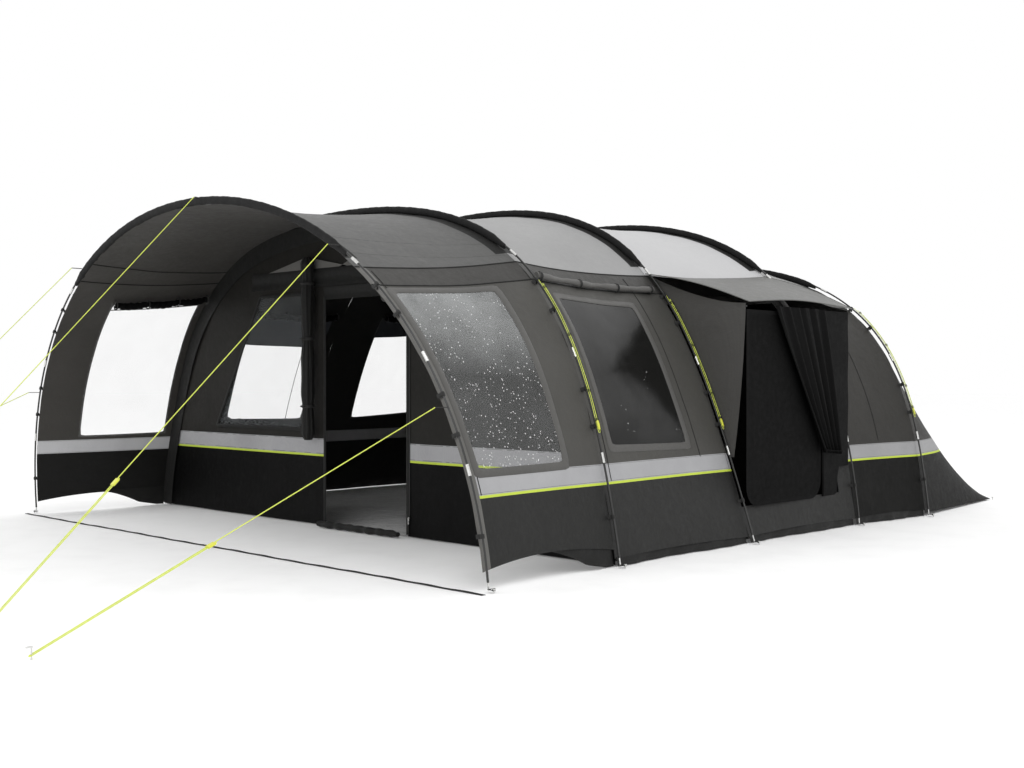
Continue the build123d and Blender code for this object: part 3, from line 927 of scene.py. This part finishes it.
class TENT_OT_front(bpy.types.Operator):
    """Builds the front wall of the living space with its window, doorway and vents"""

    bl_idname = "tent.front"
    bl_label = "Front wall"

    def execute(self, context):
        def edge_x(z):
            """Half width of the second hoop at height z."""
            table = TABLES[1]
            for (_, x0, z0), (_, x1, z1) in zip(table, table[1:]):
                if z0 <= z <= z1:
                    return x0 + (x1 - x0) * (z - z0) / (z1 - z0) - 0.004
            return 0.0

        def ripple(x, z):
            """How far the cloth stands out of its plane."""
            broad = noise.noise(Vector((x * 3, 0.0, z * 3))) * 0.010
            return broad + noise.noise(Vector((x * 11, 2.0, z * 9))) * 0.003

        right, sill, top = -0.425, 0.640, 1.560

        def window_left(z):
            """The window's left edge leans outwards with the leg of the hoop."""
            return -0.955 - (top - z) * 0.614

        bm = bmesh.new()
        header = 1.575
        heights = spread({0.010, 0.432, 0.533, sill, top, header}, 0.03)

        def panel(x_low, x_high, z_marks, hole=None):
            """A sheet between two edges that may depend on z."""
            columns = spread({0.0, 0.3, 0.85, 1.0}, 0.03) if hole else unit(0.03)

            def place(u, z):
                low, high = x_low(z), x_high(z)
                if hole:
                    a, b = hole[0](z), hole[1](z)
                    x = low + (a - low) * u / 0.3 if u <= 0.3 else a + (b - a) * (u - 0.3) / 0.55
                    x = b + (high - b) * (u - 0.85) / 0.15 if u > 0.85 else x
                else:
                    x = low + (high - low) * u
                rim = min(1.0, 8 * u, 8 * (1 - u))
                return Vector((x, WALL_Y + ripple(x, z) * rim, z))

            def zone(u, z):
                if hole and 0.3 < u < 0.85 and sill < z < top:
                    return None
                return 0

            add_sheet(bm, columns, z_marks, place, zone, CLOTH, to_front, inner=1)

        panel(lambda z: -edge_x(z), lambda z: DOOR_X[0], heights, (window_left, lambda z: right))
        panel(lambda z: DOOR_X[1], edge_x, heights)

        def top_place(u, z):
            half = edge_x(min(z, HEIGHTS[1] - 0.006)) if z < HEIGHTS[1] - 0.004 else 0.02
            x = -half + 2 * half * u
            return Vector((x, WALL_Y + ripple(x, z) * 0.6, z))

        add_sheet(
            bm, unit(0.012), spread({header, 1.715, 2.037}, 0.018), top_place, 0, CLOTH, to_front, inner=1
        )
        # The lintel over the doorway and a beam with a flap hanging under it.
        for x0, x1, low, high, out in (
            (DOOR_X[0] - 0.01, DOOR_X[1] + 0.01, DOOR_TOP - 0.02, header + 0.02, 0.004),
            (-1.05, 1.05, 1.600, 1.725, 0.010),
        ):
            add_sheet(
                bm,
                spread({x0, x1}, 0.05),
                spread({low, high}, 0.012),
                lambda x, z, out=out: Vector((x, WALL_Y - out - 0.004 * math.sin(z * 60), z)),
                3,
                0.002,
                to_front,
            )
        for x in DOOR_X:
            points = [Vector((x, WALL_Y - 0.004, z)) for z in spread({0.02, DOOR_TOP}, 0.04)]
            add_strand(bm, points, 0.012, 3, 8, 0.5, to_rear)
        # Two vents over the doorway, each a pale triangle.
        for middle, half, tall in ((-0.40, 0.44, 0.085), (0.16, 0.20, 0.070)):

            def vent(u, v, middle=middle, half=half, tall=tall):
                rise = tall * v * (1 - abs(2 * u - 1)) * 0.98
                return Vector((middle - half + 2 * half * u, WALL_Y - 0.012, 1.722 + rise))

            add_sheet(bm, unit(0.05), unit(0.25), vent, 2, 0.001, to_front)
        # The inner edge of the second hoop's leg is faced with a dark band.
        for side in (1, -1):

            def band(u, s, side=side):
                p = on_hoop(1, s, -0.006 - 0.125 * u)
                return Vector((side * p.x, WALL_Y - 0.012 - 0.004 * math.sin(20 * s), max(p.z, 0.01)))

            add_sheet(bm, unit(0.5), spread({HEM, 0.98}, 0.012), band, 3, CLOTH, to_front)
        finish_piece(
            "front_wall",
            bm,
            ("front", "lining_plain", "edge", "black"),
            replaces=("front_wall_left", "front_wall_right", "front_header"),
        )

        bm = bmesh.new()

        def pane(u, z):
            a, b = window_left(z) - 0.01, right + 0.01
            x = lerp(a, b, u)
            return Vector((x, WALL_Y + 0.002 + ripple(x, z), z))

        add_sheet(bm, unit(0.04), spread({sill - 0.01, top + 0.01}, 0.03), pane, 0, FILM, to_front)
        finish_piece(
            "front_window_film", bm, ("film",), replaces=("front_window",)
        )

        bm = bmesh.new()
        corners = [(window_left(sill), sill), (right, sill), (right, top), (window_left(top), top)]
        for (x0, z0), (x1, z1) in zip(corners, corners[1:] + corners[:1]):
            points = []
            for k in range(31):
                points.append(Vector((x0 + (x1 - x0) * k / 30, WALL_Y - 0.006, z0 + (z1 - z0) * k / 30)))
            add_strand(bm, points, 0.012, 0, 10, 0.3, to_rear)
        points = []
        for k in range(50):
            x = window_left(0.66) + 0.03 + (right - window_left(0.66) - 0.05) * k / 49
            points.append(Vector((x, WALL_Y + 0.035, 0.655 + 0.012 * math.sin(k * 0.9) - 0.0006 * k)))

        def roll_girth(t):
            return 0.030 + 0.008 * math.sin(t * 40) + 0.004 * math.sin(t * 97)

        add_strand(bm, points, roll_girth, 1, 14, 0.8, to_rear)
        finish_piece("front_window_frame", bm, ("black", "curtain"))
        return {"FINISHED"}


class TENT_OT_door(bpy.types.Operator):
    """Builds the rolled front door, its ties and the roll across the sill"""

    bl_idname = "tent.door"
    bl_label = "Door"

    def execute(self, context):
        low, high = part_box("door_roll")
        x, y = (low[0] + high[0]) / 2, (low[1] + high[1]) / 2
        bm = bmesh.new()
        ties = (0.800, 1.250, 1.620)
        points = []
        for k in range(91):
            z = lerp(low[2], high[2], k / 90)
            points.append(Vector((x + 0.004 * math.sin(3 * z), y + 0.003 * math.sin(5 * z + 1), z)))

        def girth(t):
            z = lerp(low[2], high[2], t)
            pinch = sum(math.exp(-(((z - tie) / 0.060) ** 2)) for tie in ties)
            end = min(1.0, 0.55 + 14 * t, 0.55 + 14 * (1 - t))
            return (0.043 - 0.008 * min(1.0, pinch)) * end + 0.0016 * math.sin(t * 33)

        part = bmesh.new()
        add_strand(part, points, girth, 0, 36, 1.0, to_rear)
        for vertex in part.verts:
            away = Vector((vertex.co.x - x, vertex.co.y - y, 0.0))
            angle = math.atan2(away.y, away.x)
            spiral = 0.0022 * math.sin(9 * angle + 2.2 * vertex.co.z)
            spiral += 0.0012 * math.sin(17 * angle - 5 * vertex.co.z)
            if away.length > 0.01:
                vertex.co += away.normalized() * spiral
        join(bm, part)
        piece = finish_piece(
            "rolled_door", bm, ("black",), replaces=("door_roll",)
        )

        bm = bmesh.new()
        for tie in ties:
            loop = []
            for k in range(37):
                angle = 2 * math.pi * k / 36
                loop.append(Vector((x + 0.041 * math.cos(angle), y + 0.041 * math.sin(angle), tie)))
            add_strand(bm, loop, 0.010, 0, 8, 0.22, lambda p: Vector((p.x - x, p.y - y, 0)))
            toggle = [Vector((x - 0.020 + 0.004 * k, y - 0.047, tie)) for k in range(11)]
            add_strand(bm, toggle, lambda t: 0.0045 + 0.0015 * math.sin(math.pi * t), 0, 10)
        finish_piece("door_tie_straps", bm, ("webbing",), replaces=("door_ties",))

        low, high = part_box("door_sill")
        bm = bmesh.new()
        points = []
        for k in range(61):
            y = (low[1] + high[1]) / 2 + 0.004 * math.sin(k * 0.6)
            points.append(Vector((lerp(low[0], high[0], k / 60), y, 0.026)))

        def sill_girth(t):
            return 0.0225 + 0.002 * math.sin(50 * t) - 0.006 * (2 * t - 1) ** 10

        add_strand(bm, points, sill_girth, 0, 20, 0.95)
        piece = finish_piece(
            "door_sill_roll", bm, ("black",), replaces=("door_sill",)
        )
        return {"FINISHED"}


class TENT_OT_inside(bpy.types.Operator):
    """Builds the groundsheet, the mud flaps and the bedroom"""

    bl_idname = "tent.inside"
    bl_label = "Inside"

    def execute(self, context):
        low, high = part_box("groundsheet")
        bm = bmesh.new()

        def ground(u, v):
            x, y = lerp(low[0], high[0], u), lerp(low[1], high[1], v)
            broad = noise.noise(Vector((x * 2.4, y * 2.4, 0)))
            fine = noise.noise(Vector((x * 9, y * 9, 0)))
            return Vector((x, y, 0.004 + 0.004 * max(0.0, broad) + 0.002 * max(0, fine)))

        add_sheet(bm, unit(0.012), unit(0.016), ground, 0, THIN_CLOTH, to_top)
        piece = finish_piece(
            "ground_sheet", bm, ("ground",), replaces=("groundsheet",)
        )

        bm = bmesh.new()
        for side in (1, -1):
            for i in range(4):

                def flap(u, v, i=i, side=side):
                    start = 0.042 if i == 0 else 0.022
                    top = skin_point(i, u, on_side(start, side), -0.006)
                    rise = 0.09 * max(0.0, (0.93 - u) / 0.46) if i == 0 else 0.0
                    out = side * (0.018 + 0.010 * math.sin(9 * u + i))
                    foot = Vector((top.x + out, top.y, 0.004 + rise))
                    reach = min(1.0, 0.10 + (u - 0.47) / 0.34) if i == 0 else 1.0
                    p = top.lerp(foot, v * reach)
                    return p + Vector((side * 0.005 * math.sin(34 * u + 4 * v) * v, 0, 0))

                first = 0.47 if i == 0 else 0.01
                add_sheet(bm, spread({first, 0.99}, 0.02), unit(0.15), flap, 0, THIN_CLOTH, from_axis)
        finish_piece("mud_flap_cloth", bm, ("black",), replaces=("mud_flaps",))

        low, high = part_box("bedroom_front")
        bm = bmesh.new()

        def bedroom(u, v):
            angle = math.pi * u
            half, tall = (high[0] - low[0]) / 2, high[2] - 0.012
            edge = Vector((half * math.cos(angle), 0, 0.012 + tall * max(math.sin(angle), 0.0) ** 0.72))
            centre = Vector((edge.x * 0.02, 0, 0.012))
            p = centre.lerp(edge, v)
            drape = 0.018 * math.sin(9 * p.x) * (1 - 0.4 * v)
            drape += 0.010 * noise.noise(Vector((p.x * 4, 0, p.z * 2)))
            return Vector((p.x, low[1] + drape, p.z))

        add_sheet(bm, unit(0.012), spread({0.02, 1.0}, 0.04), bedroom, 0, THIN_CLOTH, to_front)
        for x in (-1.08, -0.32, 0.45, 1.25):
            y = low[1] - 0.012 + 0.018 * math.sin(9 * x)
            points = [Vector((x, y, z)) for z in spread({0.05, 1.45}, 0.04)]
            add_strand(bm, points, 0.008, 1, 6, 0.5, to_rear)
        piece = finish_piece(
            "bedroom_wall", bm, ("deep", "zip"), replaces=("bedroom_front",)
        )

        bm = bmesh.new()
        sections = ((0.692, 2.050, 1.830), (1.499, 2.100, 1.640), (2.355, 1.980, 0.560))

        def pod(u, v):
            spot = v * 2
            k = min(int(spot), 1)
            part = spot - k
            y, w, h = (sections[k][n] * (1 - part) + sections[k + 1][n] * part for n in range(3))
            angle = math.pi * u
            sag = 1 - 0.02 * math.sin(math.pi * part) - 0.006 * math.sin(30 * angle)
            return Vector((w * math.cos(angle), y, 0.02 + (h * max(math.sin(angle), 0.0) ** 0.72) * sag))

        add_sheet(bm, unit(0.02), spread({0.0, 0.5, 1.0}, 0.05), pod, 0, THIN_CLOTH, from_axis)
        piece = finish_piece(
            "bedroom_pod", bm, ("blind",), replaces=("bedroom_shell",)
        )

        low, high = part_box("bedroom_floor")
        bm = bmesh.new()
        add_sheet(
            bm,
            spread({low[0], high[0]}, 0.12),
            spread({low[1], high[1]}, 0.12),
            lambda x, y: Vector((x, y, 0.006 + 0.002 * noise.noise(Vector((x * 5, y * 5, 1))))),
            0,
            0.002,
            to_top,
        )
        finish_piece(
            "bedroom_groundsheet", bm, ("ground",), replaces=("bedroom_floor",)
        )
        return {"FINISHED"}


class TENT_OT_porch(bpy.types.Operator):
    """Builds the side porch: roof, gussets, mesh door, gathered outer door and rear panel"""

    bl_idname = "tent.porch"
    bl_label = "Porch"

    def execute(self, context):
        i = 2
        long = STATIONS[3] - STATIONS[2]
        bm = bmesh.new()

        def awning(u, v):
            inner = skin_point(i, u, SEAM + 0.004, 0.006)
            crown = 0.030 * 4 * u * (1 - u)
            y = STATIONS[2] + 0.012 + u * (long - 0.024)
            p = inner.lerp(Vector((DOOR_PLANE + 0.022, y, PORCH_TOP + crown)), v)
            p.z += 0.026 * math.sin(math.pi * v) + 0.0012 * math.sin(11 * u + 3 * v)
            return p

        add_sheet(
            bm, unit(0.02), unit(0.03), awning, 0, CLOTH, lambda p: Vector((0.3, 0, 1)), inner=1
        )
        rim = [awning(u, 1.0) for u in unit(0.02)]
        add_strand(bm, rim, 0.0035, 0, 8)
        for end in (0.0, 1.0):
            add_strand(bm, [awning(end, v) for v in unit(0.05)], 0.003, 0, 8)
        piece = finish_piece(
            "porch_awning",
            bm,
            ("porch", "lining_plain", "black"),
            replaces=("porch_roof",),
        )

        bm = bmesh.new()
        for y, hoop, sign in ((STATIONS[2] + 0.024, 2, -1), (STATIONS[3] - 0.024, 3, 1)):

            def gusset(u, v, y=y, hoop=hoop, sign=sign):
                wall = on_hoop(hoop, lerp(0.155, SEAM, v), 0.006)
                top = Vector((DOOR_PLANE - 0.004, y, PORCH_TOP - 0.008))
                base = on_hoop(hoop, 0.155, 0.006)
                reach = lerp(base.z, top.z, min(1.0, v / 0.80))
                outer = Vector((DOOR_PLANE - 0.006, y, reach))
                if v > 0.80:
                    outer = top.lerp(wall, (v - 0.80) / 0.20)
                outer.x -= 0.085 * (1 - v) ** 2
                p = Vector((wall.x, y, wall.z)).lerp(outer, u)
                return p + Vector((0, sign * 0.006 * math.sin(math.pi * u) * math.sin(math.pi * v), 0))

            outward = to_rear if sign > 0 else to_front
            add_sheet(
                bm, unit(0.06), spread({0.0, 0.8, 1.0}, 0.03), gusset, 0, CLOTH, outward, inner=1
            )
        finish_piece(
            "porch_sides",
            bm,
            ("gusset", "lining_plain"),
            replaces=("porch_gusset_front", "porch_gusset_rear"),
        )

        low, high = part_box("side_door")
        bm = bmesh.new()
        radius = 0.12

        def leaf(u, v):
            """The mesh leaf, whose two lower corners are round."""
            y, z = lerp(low[1], high[1], u), lerp(low[2], high[2], v)
            for cy, cz in ((low[1] + radius, low[2] + radius), (high[1] - radius, low[2] + radius)):
                dy, dz = y - cy, z - cz
                outer_y = dy < 0 if cy < (low[1] + high[1]) / 2 else dy > 0
                if outer_y and dz < 0:
                    length = math.hypot(dy, dz)
                    most = max(abs(dy), abs(dz))
                    if length > 1e-6:
                        y, z = cy + dy * most / length, cz + dz * most / length
            rim = min(1.0, 10 * u, 10 * (1 - u), 10 * v, 10 * (1 - v))
            return Vector(((low[0] + high[0]) / 2 + 0.0016 * math.sin(20 * z + 6 * y) * rim, y, z))

        def leaf_zone(u, v):
            return 0 if 0.03 < u < 0.97 and 0.025 < v < 0.975 else 1

        add_sheet(bm, unit(0.025), unit(0.02), leaf, leaf_zone, THIN_CLOTH, to_right)
        finish_piece(
            "side_door_mesh",
            bm,
            ("mesh", "deep"),
            body="side_door_leaf",
            replaces=("side_door",),
        )

        # The outer door is drawn to the rear and tied, so it hangs in deep folds.
        bm = bmesh.new()
        start = STATIONS[2]

        def drawn(u, v):
            top = Vector((0, start + 0.33 + 0.585 * u, PORCH_TOP - 0.016))
            middle = Vector((0, start + 0.545 + 0.50 * u, 1.046))
            low_point = Vector((0, start + 0.905 + 0.215 * u, PORCH_SILL + 0.300 - 0.02 * u))
            p = top * (1 - v) ** 2 + middle * 2 * v * (1 - v) + low_point * v * v
            depth = 0.008 + 0.010 * v
            pleat = math.sin(u * 2 * math.pi * 5.5 + 2 * v) * depth + 0.003 * math.sin(u * 61 + v * 3)
            return Vector((DOOR_PLANE + 0.014 + pleat, p.y, p.z))

        add_sheet(bm, unit(0.0075), unit(0.02), drawn, 0, 0.0014, to_right)
        add_strand(bm, [drawn(0.0, v) for v in unit(0.02)], 0.006, 1, 8)
        tie = [drawn(u, 0.985) + Vector((0.014, 0, 0)) for u in unit(0.04)]
        add_strand(bm, tie, 0.012, 1, 8, 0.3)
        piece = finish_piece(
            "porch_outer_door",
            bm,
            ("curtain", "deep"),
            replaces=("side_curtain",),
        )

        low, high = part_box("porch_rear_panel")
        bm = bmesh.new()

        def rear(u, v):
            """The rear cloth, whose foot steps up where the curtain is tied."""
            y = lerp(low[1], high[1], u)
            step = min(1.0, max(0.0, (y - (STATIONS[3] - 0.175)) / 0.02))
            foot = PORCH_SILL + 0.012 + 0.185 * step
            z = foot + (high[2] - foot) * v
            return Vector(((low[0] + high[0]) / 2 + 0.002 * math.sin(18 * z + 9 * y), y, z))

        add_sheet(bm, unit(0.06), unit(0.02), rear, 0, 0.0014, to_right)
        add_strand(bm, [rear(0.0, v) for v in unit(0.02)], 0.008, 1, 8)
        finish_piece("porch_rear_cloth", bm, ("curtain", "deep"), replaces=("porch_rear_panel",))
        return {"FINISHED"}


class TENT_OT_sleeves(bpy.types.Operator):
    """Builds the pole sleeves and the clip straps"""

    bl_idname = "tent.sleeves"
    bl_label = "Sleeves"

    def execute(self, context):
        rings = 260
        ranges = ((0.555, 1.445), (0.565, 1.435), (0.555, 1.445), (0.545, 1.455), (0.575, 1.425))
        bm = bmesh.new()
        for i, (start, stop) in enumerate(ranges):

            def sleeve(k, n, i=i, start=start, stop=stop):
                along = k / (rings - 1)
                mouth = min(1.0, 0.55 + 12 * along, 0.55 + 12 * (1 - along))
                pucker = 0.0007 * math.sin(k * 0.61 + i) + 0.0005 * math.sin(k * 1.37)
                angle = 2 * math.pi * n / 16
                c, q = math.cos(angle), math.sin(angle)
                out = 0.021 + (0.023 * mouth + pucker) * math.copysign(abs(c) ** 0.7, c)
                side = (0.016 * mouth + pucker * 0.6) * math.copysign(abs(q) ** 0.8, q)
                return on_hoop(i, lerp(start, stop, along), out) + Vector((0, side, 0))

            add_tube(bm, rings, 16, sleeve)
        finish_piece("sleeves", bm, ("sleeve",), replaces=("pole_sleeves",))

        bm = bmesh.new()
        for i in range(5):
            for s in (0.075, 0.215, 0.275, 0.415, 0.475):
                for mark in (s, 2 - s):
                    centre, inner = on_hoop(i, mark, POLE_OUT), on_hoop(i, mark, 0.001)
                    out = (centre - inner).normalized()
                    loop = []
                    for k in range(19):
                        angle = -2.5 + 5.0 * k / 18
                        loop.append(
                            centre + out * 0.0095 * math.cos(angle) + Vector(
                                (0, 0.0095 * math.sin(angle), 0)
                            ),
                        )
                    loop = [inner + Vector((0, -0.016, 0))] + loop + [inner + Vector((0, 0.016, 0))]
                    add_strand(bm, loop, 0.011, 0, 8, 0.13, lambda p, c=centre: p - c)
        finish_piece("clip_straps", bm, ("webbing",), replaces=("pole_clips",))
        return {"FINISHED"}


class TENT_OT_guys(bpy.types.Operator):
    """Builds the guy lines"""

    bl_idname = "tent.guys"
    bl_label = "Guy lines"

    def execute(self, context):
        diameter = settings().cord_diameter
        for name, (start, peg, end, length) in GUYS.items():
            start = Vector(start)
            turns = [Vector((start.x + across, *peg)) for across in (-PEG_HALF, PEG_HALF)]
            back = (turns[0] - start).normalized() * 6 * diameter
            route = (start, turns[0] - back, *turns, turns[1] - back, end)
            piece = spline(f"guy_line_{name}", route, diameter)
            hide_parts(f"guy_{name}")
        return {"FINISHED"}


class TENT_OT_hanks(bpy.types.Operator):
    """Builds the spare guy lines that are tied along the legs"""

    bl_idname = "tent.hanks"
    bl_label = "Spare guy lines"

    def execute(self, context):
        diameter = 0.003

        def runner_girth(t):
            return 0.0072 + 0.0020 * math.sin(math.pi * t)

        for side, name in ((1, "right"), (-1, "left")):
            for i in (1, 2, 3, 4):

                def leg(s, across, out, i=i, side=side):
                    """A point beside the leg of hoop i."""
                    return on_hoop(i, on_side(s, side), POLE_OUT + out) + Vector((0, across, 0))

                marks = [0.44, 0.41, 0.38, 0.35, 0.32, 0.29, 0.26, 0.23]
                wobble = [0.0012 * math.sin(9 * k + 3 * i + side) for k in range(8)]
                route = [leg(0.470, -0.007, 0.014)]
                route += [leg(m, -0.007 + w, 0.014) for m, w in zip(marks, wobble)]
                for s, across in ((0.209, -0.008), (0.203, -0.006), (0.203, 0.006), (0.209, 0.008)):
                    route.append(leg(s, across, 0.014))
                route += [leg(m, 0.007 + w, 0.014) for m, w in zip(marks[::-1], wobble)]
                route += [leg(0.455, 0.008, 0.015), leg(0.461, 0.006, 0.017)]
                route += [leg(0.461, -0.006, 0.020), leg(0.455, -0.008, 0.020)]
                route += [leg(m, -0.002 + w, 0.0205) for m, w in zip(marks, wobble)]
                route += [leg(0.216, -0.002, 0.0205)]
                piece = spline(f"spare_line_{name}_{i + 1}", route, diameter)
                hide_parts(f"hanks_{name}")

                bm = bmesh.new()
                for s in (0.452, 0.362, 0.268, 0.222):
                    for turn in range(3):
                        loop = []
                        for k in range(20):
                            angle = 2 * math.pi * k / 20
                            out = 0.0172 + 0.0062 * math.sin(angle)
                            loop.append(leg(s + 0.0016 * turn, 0.0115 * math.cos(angle), out))
                        add_strand(bm, loop, 0.0013, 0, 6, 1.0, closed=True)
                runner = [leg(0.222 - 0.0018 * k, -0.002, 0.0205) for k in range(9)]
                add_strand(bm, runner, runner_girth, 1, 12, 0.45, from_axis)
                slots = ("webbing", "runner")
                ties = finish_piece(f"line_ties_{name}_{i + 1}", bm, slots)
        return {"FINISHED"}


class TENT_OT_ground(bpy.types.Operator):
    """Builds the webbing across the canopy feet and the foot loops"""

    bl_idname = "tent.ground"
    bl_label = "Ground webbing"

    def execute(self, context):
        low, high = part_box("front_strap")
        bm = bmesh.new()
        y = (low[1] + high[1]) / 2

        def strap(u, v):
            x = lerp(low[0], high[0], u)
            return Vector(
                (x, y + (v - 0.5) * 0.026 + 0.004 * math.sin(5 * x), 0.003 + 0.0012 * math.sin(23 * x))
            )

        add_sheet(bm, unit(0.006), [0.0, 0.5, 1.0], strap, 0, 0.0018, to_top)
        for i in range(5):
            for side in (1, -1):
                foot = on_hoop(i, on_side(0.004, side), POLE_OUT)
                end = Vector((foot.x + side * 0.034, STATIONS[i], 0.010))
                for shift in (-0.007, 0.007):
                    points = []
                    for k in range(13):
                        bow = math.sin(math.pi * k / 12)
                        p = Vector((foot.x, foot.y, 0.014)).lerp(end, k / 12)
                        points.append(p + Vector((0, shift * bow * 1.6, 0.004 * bow)))
                    add_strand(bm, points, 0.007, 0, 8, 0.2)
        finish_piece("ground_webbing", bm, ("webbing",), replaces=("front_strap",))
        return {"FINISHED"}


class TENT_OT_finishes(bpy.types.Operator):
    """Gives the carried-over CAD nodes their materials"""

    bl_idname = "tent.finishes"
    bl_label = "Finishes"

    def execute(self, context):
        looks = {
            "pole_tips": "metal",
            "pole_ferrules": "metal",
            "foot_pegs": "metal",
            "guy_pegs": "metal",
            "guy_tabs": "webbing",
            "porch_struts": "pole",
            "zip_tape": "zip",
            "zip_slider": "metal",
        }
        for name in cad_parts:
            piece = bpy.data.objects.get(name)
            if piece is None or piece.type != "MESH":
                continue
            look = looks.get(name)
            if name.startswith("runner_"):
                look = "runner"
            elif name.startswith("pole_") and look is None:
                look = "pole"
            if look is None:
                continue
            piece.data.materials.clear()
            piece.data.materials.append(MATERIALS[look])
        return {"FINISHED"}


class TENT_OT_stage(bpy.types.Operator):
    """Builds the floor, the lights and the camera"""

    bl_idname = "tent.stage"
    bl_label = "Stage"

    def execute(self, context):
        scene = context.scene
        bm = bmesh.new()
        bmesh.ops.create_grid(bm, x_segments=8, y_segments=8, size=60)
        bmesh.ops.translate(bm, verts=bm.verts[:], vec=(0, 0, -0.001))
        mesh = bpy.data.meshes.new("floor")
        bm.to_mesh(mesh)
        bm.free()
        mesh.materials.append(MATERIALS["floor"])
        floor = bpy.data.objects.new("floor", mesh)
        scene.collection.objects.link(floor)

        for name, place, size, energy, aim in (
            ("key", (7, -7, 8), 7, 260, (0, 0, 1)),
            ("fill", (-8, -6, 6), 8, 90, (0, 0, 1)),
            ("rim", (3, 9, 8), 8, 120, (0, 0, 1)),
            ("front", (2, -11, 3), 6, 60, (0, -1, 1)),
        ):
            light = bpy.data.lights.new(name, "AREA")
            light.size = size
            light.energy = energy
            lamp = bpy.data.objects.new(name, light)
            lamp.location = place
            lamp.rotation_euler = (Vector(aim) - Vector(place)).to_track_quat("-Z", "Y").to_euler()
            scene.collection.objects.link(lamp)

        world = bpy.data.worlds.new("studio")
        world.use_nodes = True
        background = world.node_tree.nodes["Background"]
        background.inputs["Color"].default_value = (1.0, 1.0, 1.0, 1.0)
        background.inputs["Strength"].default_value = 1.0
        scene.world = world
        scene.view_settings.view_transform = "Standard"

        camera = bpy.data.cameras.new("camera")
        camera.lens = settings().lens
        camera.sensor_width = 36.0
        holder = bpy.data.objects.new("camera", camera)
        holder.location = (6.366, -6.836, 0.998)
        holder.rotation_euler = (math.pi / 2 - 0.006, 0.0, 0.772)
        scene.collection.objects.link(holder)
        scene.camera = holder
        return {"FINISHED"}


class TENT_PT_panel(bpy.types.Panel):
    """Sizes and build steps of the tent"""

    bl_idname = "TENT_PT_panel"
    bl_label = "Tunnel Tent"
    bl_space_type = "VIEW_3D"
    bl_region_type = "UI"
    bl_category = "Tent"

    def draw(self, context):
        for name in TentSettings.__annotations__:
            self.layout.prop(context.scene.tent_settings, name)
        for step in STEPS:
            self.layout.operator(step.bl_idname)


STEPS = (
    TENT_OT_fly,
    TENT_OT_tail,
    TENT_OT_windows,
    TENT_OT_front,
    TENT_OT_door,
    TENT_OT_inside,
    TENT_OT_porch,
    TENT_OT_sleeves,
    TENT_OT_guys,
    TENT_OT_hanks,
    TENT_OT_ground,
    TENT_OT_finishes,
    TENT_OT_stage,
)
CLASSES = (TentSettings, *STEPS, TENT_PT_panel)


def register():
    for item in CLASSES:
        bpy.utils.register_class(item)
    bpy.types.Scene.tent_settings = bpy.props.PointerProperty(type=TentSettings)


def unregister():
    del bpy.types.Scene.tent_settings
    for item in reversed(CLASSES):
        bpy.utils.unregister_class(item)


def main():
    """Builds the whole tent in its scene."""
    register()
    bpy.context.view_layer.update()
    build_materials()
    bpy.ops.tent.fly()
    bpy.ops.tent.tail()
    bpy.ops.tent.windows()
    bpy.ops.tent.front()
    bpy.ops.tent.door()
    bpy.ops.tent.inside()
    bpy.ops.tent.porch()
    bpy.ops.tent.sleeves()
    bpy.ops.tent.guys()
    bpy.ops.tent.hanks()
    bpy.ops.tent.ground()
    bpy.ops.tent.finishes()
    bpy.ops.tent.stage()


if __name__ == "__main__":
    main()
